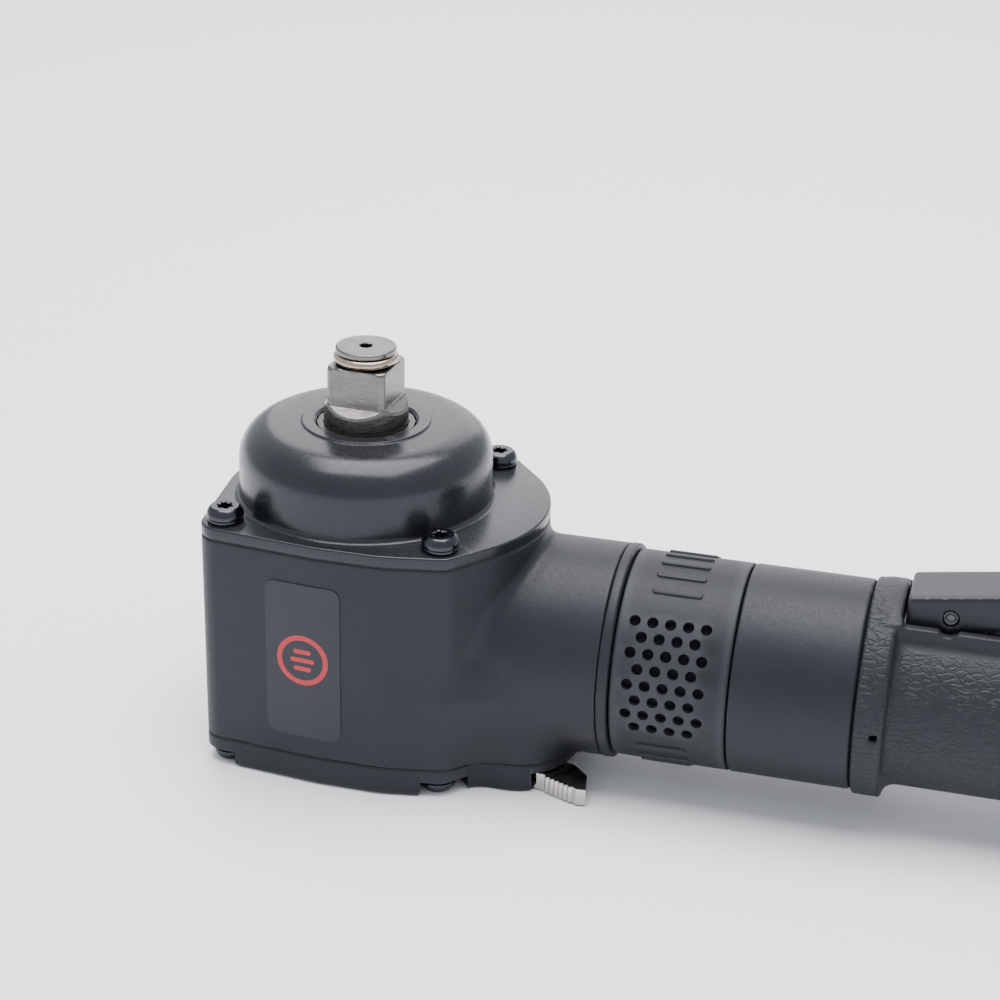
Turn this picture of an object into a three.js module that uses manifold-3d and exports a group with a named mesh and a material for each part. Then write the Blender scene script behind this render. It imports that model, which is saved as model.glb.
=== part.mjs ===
// Angle-head air impact wrench, 1/2 inch square drive.
// Millimetres. The anvil turns about the Z axis, the handle runs along +X,
// and the flat underside of the bottom cover lies in the plane Z = 0.
import * as THREE from "three";
import { mergeVertices } from "three/addons/utils/BufferGeometryUtils.js";
import Module from "manifold-3d";

const wasm = await Module();
wasm.setup();

// ---------- driving dimensions ----------
const FIT = 0.1; // radial gap of pieces that sit still in each other
const RUN = 0.1; // radial gap of pieces that turn or slide in each other
const GAP = 0.3; // gap between the faces of neighbouring pieces
const CUT = 5; // how far a cutting tool runs past the face that it cuts
const FINE = 36; // sides of a large round
const MEDIUM = 20; // sides of a middle-sized round
const SMALL = 12; // sides of a small round

// head, seen from above: an oval with a rounded corner for each screw
const HEAD_R = 29.4; // round of the head about the anvil axis
const HEAD_REACH = 9.3; // how far the oval is drawn out towards the handle
const CORNER_R = 4.9; // round of the screw corners
const SCREW_X = 22.6; // half the screw spacing along the handle
const SCREW_Y = 22.3; // half the screw spacing across the handle
const MOTOR_BORE_R = 24.6; // bore of the head that holds the motor

// heights, from the underside up
const BASE_T = 6.0; // bottom cover
const BASE_EDGE = 1.3; // rounding of its lower edge
const GASKET_T = 0.3; // both gaskets
const HEAD_H = 45.2; // cast head between the gaskets
const FLANGE_T = 2.4; // flange of the hammer case cover
const DOME_H = 16.0; // dome above the flange
const BASE_TOP = BASE_T;
const HEAD_BOTTOM = BASE_TOP + GASKET_T;
const HEAD_TOP = HEAD_BOTTOM + HEAD_H;
const FLANGE_BOTTOM = HEAD_TOP + GASKET_T;
const FLANGE_TOP = FLANGE_BOTTOM + FLANGE_T;
const DOME_TOP = FLANGE_TOP + DOME_H;

// hammer case cover
const DOME_R = 26.2;
const DOME_EDGE = 7.5; // rounding of the dome's shoulder
const DOME_FOOT = 1.2; // fillet between dome and flange
const COVER_WALL = 2.8;
const SPOT_R = 13.1; // turned spot face round the anvil
const SPOT_H = 0.4;
const CASE_DEPTH = 12.2; // inside roof of the dome, above the flange's top

// anvil
const COLLAR_R = 8.7; // anvil shaft and collar
const SQUARE = 12.7; // 1/2 inch across the flats
const SQUARE_CORNER_R = 8.35; // the square's corners are turned to this radius
const SQUARE_TURN = -4; // degrees that the square stands off the handle's line at rest
const COLLAR_RISE = 3.0; // collar above the spot face
const RAMP_H = 1.45; // run-out ramps between collar and flats
const SQUARE_H = 8.0; // length of the flats
const SQUARE_CHAMFER = 0.85; // turned chamfer on the square's top corners
const RING_WIRE_R = 1.0; // friction ring's wire
const RING_OUT_R = 6.7; // friction ring's outer radius
const NOSE_R = 6.2;
const NOSE_H = 1.25;
const CENTRE_R = 1.4; // centre-drilled hole in the nose
const CENTRE_DEPTH = 3;
const BUSH_WALL = 1.2; // anvil bushing
const BUSH_BOSS = 2.4; // wall of the boss round it, inside the cover
const PILOT_R = 5.2; // anvil's lower end, which turns in the hammer cage
const CAM_OFF = 5; // offset of the round jaws on the anvil
const CAM_R = 5; // their radius

// motor
const PLATE_T = 5.0; // end plates
const LINER_H = 22.0; // cylinder liner
const LINER_BORE_R = 19.5;
const LINER_OFF = 1.5; // the bore's offset from the rotor's axis
const ROTOR_R = 17.8;
const SHAFT_R = 4.0;
const VANES = 6;
const VANE_T = 1.9;
const VANE_DEPTH = 7.2;
const BEARING_R = 9.5;
const BEARING_H = 3.8;
const DRIVE_HEX = 6.8; // across the flats of the rotor's hexagon
const VALVE_Z = BASE_TOP - 1.3; // underside of the reverse valve's disc
const VALVE_R = 13;
const VALVE_T = 4.0;
const MOTOR_Z = VALVE_Z + VALVE_T + GAP; // underside of the rear end plate

// hammer mechanism
const CAGE_Z = MOTOR_Z + 2 * PLATE_T + LINER_H + 1.0;
const CAGE_R = 22.3;
const CAGE_PLATE = 3.5;
const DOG_H = 5.6;
const DOG_R = 21.0;
const DOG_BORE_R = 11.5;
const DOG_FLAT = 13.6; // half width of a dog across its flats
const DOG_GAP = 0.55;
const PIN_R = 2.4;
const PIN_AT = 19.0; // hammer pins' distance from the axis
const WEB_GAP = 2.6; // room beside a dog's flat for its swing
const PIN_SWING = 2.3; // room at the far pin for a dog's swing

// reverse lever
const TURN = Math.PI / 180;
const LEVER_SIDE_A = -23; // degrees, the ribbed thumb face, which is radial
const LEVER_SIDE_B = -13.7; // degrees, the arm's other side
const LEVER_HUB_R = 11;
const LEVER_ARM_T = 2.1;
const LEVER_TOP = 4.1;
const LOBE_R = 49.2; // end of the bottom cover's lobe, about the anvil axis
const LOBE_HALF = 20.4; // half width of the lobe
const LOBE_CORNER = 12; // rounding of the lobe's corners
const THUMB_R = 45.6; // where the arm thickens into the thumb pad
const POCKET_REACH = 40; // radius of the lever's pocket, whose roof lies beyond it
const THUMB_END_R = 57.9;
const DRIVE_STUB = 6.0; // square stub between valve and lever

// neck and handle, along X
const HANDLE_Z = 25.9; // height of the handle's axis
const NECK_R = 22.2;
const NECK_END = 55.0;
const SPIGOT_R = 17.0;
const SPIGOT_END = 84.4;
const AIR_R = 6.0; // air tube
const AIR_WALL = 1.2;
const EXHAUST_R = 2.4; // exhaust passages in the neck
const EXHAUST_AT = 11.4;
const EXHAUSTS = 6;
const BEAD_L = 2.2;
const BEAD_R = 22.35;
const SLEEVE_L = 23.5; // exhaust deflector
const SLEEVE_R = 21.4;
const SLEEVE_WALL = 1.3;
const SLEEVE_END_WALL = 1.5;
const RIB_H = 0.45;
const RIB_W = 1.5;
const RIB_L = 10.2;
const RIB_FIRST = 64; // degrees above the horizontal, on the side away from +Y
const RIB_STEP = 12;
const RIBS = 23;
const HOLE_R = 1.15;
const HOLE_PITCH = 3.6;
const HOLE_ROWS = 8;
const HOLE_TOP = 44.5; // degrees, first row
const HOLE_STEP = 8.7; // degrees between rows
const UNDERCUT_Z = 4.7; // flat under the neck, where the lever passes
const TUBE_L = 24.6;
const TUBE_R = 21.45;
const GRIP_COLLAR_R = 22.1;
const GRIP_COLLAR_L = 5.6;
const GRIP_R = 19.1;

const GRIP_L = 126;
const CORE_R = 16.3;
const REAR_R = 19.0; // bare rear end of the handle
const REAR_L = 12.5;
const SLEEVE_X = NECK_END + BEAD_L + GAP;
const TUBE_X = SLEEVE_X + SLEEVE_L + GAP;
const GRIP_X = TUBE_X + TUBE_L + GAP;
const GRIP_END = GRIP_X + GRIP_L;
const REAR_X = GRIP_END + GAP;
const REAR_END = REAR_X + REAR_L;

// throttle
const PIVOT_X = 121.75;
const PIVOT_Z = 46.3;
const PIVOT_R = 1.5;
const THROTTLE_TILT = 8.7; // degrees that the released lever stands up
const LEVER_TOP_ABOVE = 4.4; // lever's top face above its pivot
const LEVER_FRONT = 8.0; // pivot to the lever's front end
const LEVER_BACK = 88; // pivot to the lever's free end
const LEVER_W = 13.0;
const LEVER_DRAFT = 0.6; // how much wider each side is at the foot
const LEVER_SKIN = 1.8;
const LEVER_DEEP = 7.3; // depth of the cheeks at the pivot
const LEVER_SHALLOW = 3.3; // depth of the edge along the paddle
const SLOT_HALF = 8.4;
const SLOT_FRONT = 112.6;
const SLOT_END = 157;
const LIP_W = 2.0;
const LIP_TOP = 44.8;
const LIP_START = 110.6;
const BOSS_HALF = 4.4;
const BOSS_FRONT = 4.4; // boss ahead of the pivot
const BOSS_BACK = 7;
const BOSS_ABOVE = 1.6;
const ROD_X = 146;
const ROD_R = 1.9;
const PLUG_R = 4.6;
const PLUG_H = 5;
const CHAMBER_R = 5.2;
const CHAMBER_TOP = 36;
const CAP_R = 6.4;
const CAP_T = 3.6;
const SPRING_R = 3.6;
const SPRING_WIRE = 0.45;
const SPRING_TURNS = 5;

// inlet
const HEX_AF = 22;
const HEX_L = 9;
const INLET_THREAD_R = 8.2;
const INLET_THREAD_L = 11;
const INLET_BORE_R = 5.7;

// fasteners, M4 with split lock washers
const M4_R = 2.0;
const M4_HEAD_R = 3.8;
const M4_HEAD_H = 2.3;
const M4_LENGTH = 14;
const BASE_SCREW_LENGTH = 13;
const SOCKET_R = 1.35;
const WASHER_R = 3.7;
const WASHER_T = 1.0;
const WASHER_SPLIT = 0.6;
const POCKET_R = 5.5;
const POCKET_OUT = 1.1; // each pocket lies this much further out in x and y, open to the side
const POCKET_DEPTH = 3.4;

// label plate on the head's near side
const LABEL_W = 16.2;
const LABEL_H = 34.6;
const LABEL_T = 0.2;
const LABEL_X = -4.1;
const LABEL_Z = 28.2;
const LABEL_CORNER = 2.2;

// ---------- solids ----------
function solid(geometry) {
  const g = geometry.clone();
  g.deleteAttribute("normal");
  g.deleteAttribute("uv");
  const m = mergeVertices(g, 1e-4);
  const tris = [];
  for (let i = 0; i < m.index.count; i += 3) {
    const [a, b, c] = [m.index.getX(i), m.index.getX(i + 1), m.index.getX(i + 2)];
    if (a !== b && b !== c && c !== a) tris.push(a, b, c);
  }
  if (signedVolume(m.attributes.position, tris) < 0) tris.reverse();
  return new wasm.Manifold(
    new wasm.Mesh({
      numProp: 3,
      vertProperties: new Float32Array(m.attributes.position.array),
      triVerts: new Uint32Array(tris),
    }),
  );
}

function signedVolume(position, tris) {
  const [a, b, c] = [new THREE.Vector3(), new THREE.Vector3(), new THREE.Vector3()];
  let sum = 0;
  for (let i = 0; i < tris.length; i += 3) {
    a.fromBufferAttribute(position, tris[i]);
    b.fromBufferAttribute(position, tris[i + 1]);
    c.fromBufferAttribute(position, tris[i + 2]);
    sum += a.dot(b.cross(c));
  }
  return sum;
}

const all = (first, ...rest) => rest.reduce((sum, s) => sum.add(s), first);
const minus = (first, ...rest) => rest.reduce((left, s) => left.subtract(s), first);

// a box from its lowest to its highest corner
function box(x0, x1, y0, y1, z0, z1) {
  const g = new THREE.BoxGeometry(x1 - x0, y1 - y0, z1 - z0);
  g.translate((x0 + x1) / 2, (y0 + y1) / 2, (z0 + z1) / 2);
  return solid(g);
}

// a closed profile of [radius, height] points turned about a line parallel to Z
function turnZ(points, sides, x = 0, y = 0) {
  const g = new THREE.LatheGeometry(points.map(([r, z]) => new THREE.Vector2(r, z)), sides);
  g.rotateX(Math.PI / 2);
  g.translate(x, y, 0);
  return solid(g);
}

// a closed profile of [radius, x] points turned about a line parallel to X
function turnX(points, sides, z = HANDLE_Z) {
  const g = new THREE.LatheGeometry(points.map(([r, x]) => new THREE.Vector2(r, x)), sides);
  g.rotateZ(-Math.PI / 2);
  g.translate(0, 0, z);
  return solid(g);
}

const rod = (r, z0, z1, sides, x = 0, y = 0) =>
  turnZ([[0, z0], [r, z0], [r, z1], [0, z1]], sides, x, y);
const rodX = (r, x0, x1, sides, z = HANDLE_Z) =>
  turnX([[0, x0], [r, x0], [r, x1], [0, x1]], sides, z);
// the corner radius of a round hole whose flats still clear the given radius
const clear = (r, sides) => (r + RUN) / Math.cos(Math.PI / sides);
const tubeZ = (r0, r1, z0, z1, sides, x = 0, y = 0) =>
  turnZ([[r0, z0], [r1, z0], [r1, z1], [r0, z1], [r0, z0]], sides, x, y);
const tubeX = (r0, r1, x0, x1, sides, z = HANDLE_Z) =>
  turnX([[r0, x0], [r1, x0], [r1, x1], [r0, x1], [r0, x0]], sides, z);

// points of an arc about (r, z), from angle a to angle b in degrees
function arc(r, z, radius, a, b, steps) {
  const points = [];
  for (let i = 0; i <= steps; i++) {
    const t = (a + ((b - a) * i) / steps) * TURN;
    points.push([r + radius * Math.cos(t), z + radius * Math.sin(t)]);
  }
  return points;
}

// the convex outline drawn tight round a set of [x, y] points
function hull(points) {
  const p = [...points].sort((a, b) => a[0] - b[0] || a[1] - b[1]);
  const cross = (o, a, b) => (a[0] - o[0]) * (b[1] - o[1]) - (a[1] - o[1]) * (b[0] - o[0]);
  const half = (list) => {
    const out = [];
    for (const q of list) {
      while (out.length > 1 && cross(out.at(-2), out.at(-1), q) <= 1e-6) out.pop();
      out.push(q);
    }
    return out.slice(0, -1);
  };
  return [...half(p), ...half([...p].reverse())];
}

const circle = (x, y, r, steps = FINE) => arc(x, y, r, 0, 360, steps).slice(0, steps);

// an outline in the XY plane raised from z0 to z1
function raise(points, z0, z1) {
  const shape = new THREE.Shape(points.map(([x, y]) => new THREE.Vector2(x, y)));
  const g = new THREE.ExtrudeGeometry(shape, { depth: z1 - z0, bevelEnabled: false });
  g.translate(0, 0, z0);
  return solid(g);
}

// the same outline with rounded rims at top and bottom
function raiseRounded(points, z0, z1, edge) {
  const shape = new THREE.Shape(points.map(([x, y]) => new THREE.Vector2(x, y)));
  const g = new THREE.ExtrudeGeometry(shape, {
    depth: z1 - z0 - 2 * edge,
    bevelThickness: edge,
    bevelSize: edge,
    bevelOffset: -edge,
    bevelSegments: 2,
  });
  g.translate(0, 0, z0 + edge);
  return solid(g);
}

// an outline in the XZ plane, extruded along Y over the given half width
function acrossY(points, half) {
  const shape = new THREE.Shape(points.map(([x, z]) => new THREE.Vector2(x, z)));
  const g = new THREE.ExtrudeGeometry(shape, { depth: 2 * half, bevelEnabled: false });
  g.rotateX(Math.PI / 2);
  g.translate(0, half, 0);
  return solid(g);
}

const spin = (s, degrees) => s.rotate([0, 0, degrees]);

// ---------- outlines of the head ----------
const CORNERS = [[-1, -1], [1, -1], [1, 1], [-1, 1]];
const screwPlaces = CORNERS.map(([sx, sy]) => [sx * SCREW_X, sy * SCREW_Y]);

function headOutline(grow = 0) {
  const corners = screwPlaces.flatMap(([x, y]) => circle(x, y, CORNER_R + grow, 16));
  const rounds = [...circle(0, 0, HEAD_R + grow), ...circle(HEAD_REACH, 0, HEAD_R + grow)];
  return hull([...rounds, ...corners]);
}

// the lobe that reaches under the neck, its end an arc about the anvil axis
function lobeOutline(grow = 0) {
  const away = LOBE_R - LOBE_CORNER;
  const side = LOBE_HALF - LOBE_CORNER;
  const x = Math.sqrt(away * away - side * side);
  const reach = Math.atan2(side, x) / TURN;
  const end = arc(0, 0, LOBE_R + grow, -reach, reach, 6);
  const corners = [-side, side].flatMap((y) => circle(x, y, LOBE_CORNER + grow, MEDIUM));
  return hull([[0, -LOBE_HALF - grow], [0, LOBE_HALF + grow], ...end, ...corners]);
}

const baseSlab = (z0, z1, grow = 0) =>
  raise(headOutline(grow), z0, z1).add(raise(lobeOutline(grow), z0, z1));

const screwHoles = (r, z0, z1) =>
  screwPlaces.map(([x, y]) => rod(r, z0, z1, SMALL, x, y)).reduce((a, b) => a.add(b));

// a fan about the anvil axis, between two angles in degrees
function fan(r, from, to, z0, z1) {
  return raise([[0, 0], ...arc(0, 0, r, from, to, 10)], z0, z1);
}

// ---------- fasteners ----------
// a button-head screw standing head up on z = 0 of its own frame
function buttonScrew(length) {
  const head = arc(0, 0, M4_HEAD_R, 20, 65, 2).map(([r, z]) => [r, z * (M4_HEAD_H / M4_HEAD_R)]);
  const profile = [[0, -length], [M4_R, -length], [M4_R, 0], [M4_HEAD_R, 0], ...head];
  const body = turnZ([...profile, [0, M4_HEAD_H]], SMALL);
  return body.subtract(rod(SOCKET_R, M4_HEAD_H - 1.3, M4_HEAD_H + CUT, 6));
}

function lockWasher() {
  const ring = tubeZ(M4_R + FIT, WASHER_R, 0, WASHER_T, SMALL);
  return ring.subtract(box(0, WASHER_R + CUT, 0, WASHER_SPLIT, -CUT, CUT));
}

// ---------- hammer case ----------
function makeCover() {
  const roof = FLANGE_TOP + CASE_DEPTH;
  const inner = DOME_R - COVER_WALL;
  const foot = arc(DOME_R + DOME_FOOT, FLANGE_TOP + DOME_FOOT, DOME_FOOT, 270, 180, 2);
  const shoulder = arc(DOME_R - DOME_EDGE, DOME_TOP - DOME_EDGE, DOME_EDGE, 0, 90, 5);
  const dome = turnZ(
    [[0, FLANGE_BOTTOM], [DOME_R + DOME_FOOT, FLANGE_BOTTOM], ...foot, ...shoulder,
      [SPOT_R, DOME_TOP], [SPOT_R, DOME_TOP + SPOT_H], [0, DOME_TOP + SPOT_H]],
    FINE,
  );
  const vault = arc(inner - DOME_EDGE, roof - DOME_EDGE, DOME_EDGE, 0, 90, 3);
  const bossR = BUSH_R + BUSH_WALL + BUSH_BOSS;
  const cavity = turnZ(
    [[0, FLANGE_BOTTOM - CUT], [inner, FLANGE_BOTTOM - CUT], ...vault, [bossR, roof],
      [bossR, roof - BUSH_DROP], [0, roof - BUSH_DROP]],
    FINE,
  );
  const bore = rod(BUSH_R + BUSH_WALL + FIT, FLANGE_TOP, DOME_TOP + CUT, MEDIUM);
  const flange = raiseRounded(headOutline(), FLANGE_BOTTOM, FLANGE_TOP, 0.35);
  const holes = screwHoles(M4_R + FIT, FLANGE_BOTTOM - CUT, FLANGE_TOP + CUT);
  return minus(flange.add(dome), cavity, bore, holes);
}
const BUSH_R = clear(COLLAR_R, MEDIUM);
const BUSH_DROP = 3.6; // the boss for the bushing hangs this far below the roof
const BUSH_Z = FLANGE_TOP + CASE_DEPTH - BUSH_DROP;

const makeBushing = () =>
  tubeZ(BUSH_R, BUSH_R + BUSH_WALL, BUSH_Z, DOME_TOP + SPOT_H - 0.6, MEDIUM);

function makeCoverGasket() {
  const sheet = raise(headOutline(), HEAD_TOP, FLANGE_BOTTOM);
  const tab = box(24.6, 26.4, -HEAD_R + 1.2, -22, HEAD_TOP, FLANGE_BOTTOM);
  const hole = rod(MOTOR_BORE_R, HEAD_TOP - CUT, FLANGE_BOTTOM + CUT, FINE);
  return minus(sheet.add(tab), hole, screwHoles(M4_R + FIT, HEAD_TOP - CUT, HEAD_TOP + CUT));
}

// ---------- anvil ----------
const COLLAR_TOP = DOME_TOP + SPOT_H + COLLAR_RISE;
const SQUARE_Z = COLLAR_TOP + RAMP_H;
const SQUARE_TOP = SQUARE_Z + SQUARE_H;
const GROOVE_TOP = SQUARE_TOP + 2 * RING_WIRE_R + 2 * FIT;
const ANVIL_TOP = GROOVE_TOP + NOSE_H;
const DOG_Z = CAGE_Z + CAGE_PLATE + DOG_GAP;
const CAGE_TOP_Z = DOG_Z + 2 * DOG_H + 2 * DOG_GAP;

function makeAnvil() {
  const half = SQUARE / 2;
  const blank = turnZ(
    [[0, COLLAR_TOP], [COLLAR_R, COLLAR_TOP], [COLLAR_R, COLLAR_TOP + RAMP_H / 2],
      [SQUARE_CORNER_R, SQUARE_Z], [SQUARE_CORNER_R, SQUARE_TOP - SQUARE_CHAMFER],
      [half, SQUARE_TOP], [0, SQUARE_TOP]],
    MEDIUM,
  );
  // flats with a sloped run-out down to the collar, cut from the turned blank
  const flare = COLLAR_R * Math.SQRT2;
  const ramp = new THREE.CylinderGeometry(half * Math.SQRT2, flare, RAMP_H, 4, 1);
  ramp.rotateX(Math.PI / 2);
  ramp.rotateZ(Math.PI / 4);
  ramp.translate(0, 0, COLLAR_TOP + RAMP_H / 2);
  const flats = solid(ramp).add(box(-half, half, -half, half, SQUARE_Z, SQUARE_TOP));
  const square = blank.intersect(flats);
  const nose = turnZ(
    [[0, SQUARE_TOP - 1], [RING_OUT_R - 2 * RING_WIRE_R - FIT, SQUARE_TOP - 1],
      [RING_OUT_R - 2 * RING_WIRE_R - FIT, GROOVE_TOP], [NOSE_R, GROOVE_TOP],
      [NOSE_R, ANVIL_TOP - 0.25], [NOSE_R - 0.25, ANVIL_TOP], [CENTRE_R, ANVIL_TOP],
      [CENTRE_R, ANVIL_TOP - CENTRE_DEPTH], [0, ANVIL_TOP - CENTRE_DEPTH - 0.8]],
    MEDIUM,
  );
  const pilotZ = CAGE_Z + CAGE_PLATE / 2 + GAP;
  const shaft = turnZ(
    [[0, pilotZ], [PILOT_R, pilotZ], [PILOT_R, CAGE_Z + CAGE_PLATE + GAP],
      [COLLAR_R, CAGE_Z + CAGE_PLATE + GAP], [COLLAR_R, COLLAR_TOP], [0, COLLAR_TOP]],
    MEDIUM,
  );
  const jaws = [0, 1].map((i) => {
    const z = DOG_Z + i * (DOG_H + DOG_GAP);
    return rod(CAM_R, z, z + DOG_H, MEDIUM, i ? -CAM_OFF : CAM_OFF, 0);
  });
  return spin(all(shaft, square, nose, ...jaws), SQUARE_TURN);
}

function makeAnvilRing() {
  const middle = RING_OUT_R - RING_WIRE_R;
  const wire = solid(new THREE.TorusGeometry(middle, RING_WIRE_R, 6, MEDIUM));
  const split = box(-0.8, 0.8, 0, RING_OUT_R + CUT, -CUT, CUT);
  return wire.subtract(split).translate([0, 0, SQUARE_TOP + RING_WIRE_R + FIT]);
}

// ---------- hammer mechanism ----------
function makeCage() {
  const top = CAGE_TOP_Z + CAGE_PLATE;
  const drum = rod(CAGE_R, CAGE_Z, top, FINE);
  const room = box(-DOG_FLAT - WEB_GAP, DOG_FLAT + WEB_GAP, -CAGE_R - CUT, CAGE_R + CUT,
    CAGE_Z + CAGE_PLATE, CAGE_TOP_Z);
  const throat = rod(CAM_OFF + CAM_R + 4 * RUN, CAGE_Z + CAGE_PLATE, top + CUT, MEDIUM);
  const pilot = rod(clear(PILOT_R, MEDIUM), CAGE_Z + CAGE_PLATE / 2, CAGE_Z + CAGE_PLATE + CUT, MEDIUM);
  const hex = rod(hexCorner(DRIVE_HEX) + RUN, CAGE_Z - CUT, CAGE_Z + CAGE_PLATE, 6);
  const pins = [-1, 1].map((s) => rod(PIN_R + FIT, CAGE_Z - CUT, top + CUT, SMALL, 0, s * PIN_AT));
  return minus(drum, room, throat, pilot, hex, ...pins);
}

// the radius of a hexagon's corners from the distance across its flats
const hexCorner = (flats) => flats / Math.sqrt(3);

// a hammer dog: a ring hung on one pin, cut away round the other
function makeDog(index) {
  const z = DOG_Z + index * (DOG_H + DOG_GAP);
  const side = index ? 1 : -1;
  const slab = rod(DOG_R + 0.8, z, z + DOG_H, FINE).intersect(
    box(-DOG_FLAT, DOG_FLAT, -CAGE_R, CAGE_R, z, z + DOG_H),
  );
  const bore = rod(DOG_BORE_R, z - CUT, z + DOG_H + CUT, MEDIUM);
  const hinge = rod(clear(PIN_R, SMALL), z - CUT, z + DOG_H + CUT, SMALL, 0, side * PIN_AT);
  const notch = PIN_R + PIN_SWING;
  const far = -side * (PIN_AT - notch);
  const room = box(-notch, notch, Math.min(far, -side * (DOG_R + CUT)),
    Math.max(far, -side * (DOG_R + CUT)), z - CUT, z + DOG_H + CUT);
  return minus(slab, bore, hinge, room);
}

const makeHammerPin = (side) =>
  rod(PIN_R, CAGE_Z + 0.4, CAGE_TOP_Z + CAGE_PLATE - 0.4, SMALL, 0, side * PIN_AT);

// ---------- motor ----------
const LINER_Z = MOTOR_Z + PLATE_T;
const FRONT_Z = LINER_Z + LINER_H;
const FRONT_BEARING_Z = FRONT_Z + PLATE_T - BEARING_H;

function makeRotor() {
  const hexTop = CAGE_Z + CAGE_PLATE / 2 - GAP;
  const body = turnZ(
    [[0, MOTOR_Z + GAP], [SHAFT_R, MOTOR_Z + GAP], [SHAFT_R, LINER_Z + GAP],
      [ROTOR_R, LINER_Z + GAP], [ROTOR_R, FRONT_Z - GAP], [SHAFT_R, FRONT_Z - GAP],
      [SHAFT_R, CAGE_Z - GAP], [0, CAGE_Z - GAP]],
    FINE,
  );
  const hex = rod(hexCorner(DRIVE_HEX), CAGE_Z - 1, hexTop, 6);
  const slot = VANE_T / 2 + FIT;
  const inner = ROTOR_R - VANE_DEPTH - GAP;
  const slots = around(VANES).map((a) =>
    spin(box(inner, ROTOR_R + CUT, -slot, slot, LINER_Z, FRONT_Z), a),
  );
  return minus(body.add(hex), ...slots);
}

const around = (count) => Array.from({ length: count }, (_, i) => (360 * i) / count);

function makeVane(degrees) {
  const half = VANE_T / 2;
  const inner = ROTOR_R - VANE_DEPTH;
  return spin(box(inner, ROTOR_R - 0.1, -half, half, LINER_Z + GAP, FRONT_Z - GAP), degrees);
}

function makeLiner() {
  const shell = rod(MOTOR_BORE_R - FIT, LINER_Z, FRONT_Z, FINE);
  const bore = rod(LINER_BORE_R, LINER_Z - CUT, FRONT_Z + CUT, FINE, -LINER_OFF, 0);
  const ports = [-1, 0, 1].map((i) =>
    rodX(EXHAUST_R, LINER_BORE_R - CUT, MOTOR_BORE_R + CUT, SMALL, HANDLE_Z + 6 * i),
  );
  return minus(shell, bore, ...ports);
}

// an end plate with a pocket for its bearing on the side away from the rotor
function makeEndPlate(z, pocketFrom, pocketTo) {
  const plate = rod(MOTOR_BORE_R - FIT, z, z + PLATE_T, FINE);
  const pocket = rod(BEARING_R + FIT, pocketFrom, pocketTo, MEDIUM);
  return minus(plate, pocket, rod(SHAFT_R + 0.6, z - CUT, z + PLATE_T + CUT, SMALL));
}

function makeBearing(z) {
  const [a, b, c, d] = [clear(SHAFT_R, MEDIUM), SHAFT_R + 1.7, BEARING_R - 1.6, BEARING_R];
  const dip = 0.35;
  const top = z + BEARING_H;
  return turnZ(
    [[a, z], [b, z], [b, z + dip], [c, z + dip], [c, z], [d, z], [d, top], [c, top],
      [c, top - dip], [b, top - dip], [b, top], [a, top], [a, z]],
    MEDIUM,
  );
}

// ---------- bottom cover and reverse lever ----------
const FLOOR_Z = 1.9; // floor of the lever's pocket in the bottom cover
const LEVER_Z = FLOOR_Z + 0.2;
const SWEEP_A = LEVER_SIDE_A - 1.6;
const SWEEP_B = -SWEEP_A;

function leverRoom(r, z0, z1) {
  return rod(VALVE_R + 0.6, z0, z1, FINE).add(fan(r, SWEEP_A, SWEEP_B, z0, z1));
}

function makeBottomCover() {
  const top = BASE_TOP + 2 * BASE_EDGE;
  const slab = raiseRounded(headOutline(), 0, top, BASE_EDGE);
  const lobe = raiseRounded(lobeOutline(), 0, top, BASE_EDGE);
  const trim = box(-100, 100, -100, 100, BASE_TOP, top + CUT);
  const pocket = leverRoom(POCKET_REACH, FLOOR_Z, BASE_TOP + CUT);
  const exit = fan(LOBE_R + CUT, SWEEP_A, SWEEP_B, FLOOR_Z, LEVER_TOP + GAP);
  const thumb = fan(LOBE_R + CUT, SWEEP_A, SWEEP_B, -CUT, LEVER_TOP + GAP)
    .subtract(rod(THUMB_R - GAP, -2 * CUT, BASE_TOP, FINE));
  const heads = screwPlaces
    .map(([x, y]) => [x + Math.sign(x) * POCKET_OUT, y + Math.sign(y) * POCKET_OUT])
    .map(([x, y]) => rod(POCKET_R, -CUT, POCKET_DEPTH, MEDIUM, x, y))
    .reduce((a, b) => a.add(b));
  const holes = screwHoles(M4_R + FIT, -CUT, BASE_TOP + CUT);
  return minus(slab.add(lobe), trim, pocket, exit, thumb, heads, holes);
}

function makeBaseGasket() {
  const sheet = baseSlab(BASE_TOP, HEAD_BOTTOM);
  const hole = rod(MOTOR_BORE_R, BASE_TOP - CUT, BASE_TOP + CUT, FINE);
  const room = fan(POCKET_REACH, SWEEP_A, SWEEP_B, BASE_TOP - CUT, BASE_TOP + CUT);
  return minus(sheet, hole, room, screwHoles(M4_R + FIT, BASE_TOP - CUT, BASE_TOP + CUT));
}

function makeReverseValve() {
  const disc = rod(VALVE_R, VALVE_Z, VALVE_Z + VALVE_T, MEDIUM);
  const half = DRIVE_STUB / 2;
  const stub = box(-half, half, -half, half, LEVER_Z + 0.2, VALVE_Z + 1);
  const ports = [-1, 1].map((s) => rod(EXHAUST_R, VALVE_Z - CUT, VALVE_Z + CUT + VALVE_T, SMALL, 0, s * 8));
  return minus(disc.add(stub), ...ports);
}

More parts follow.
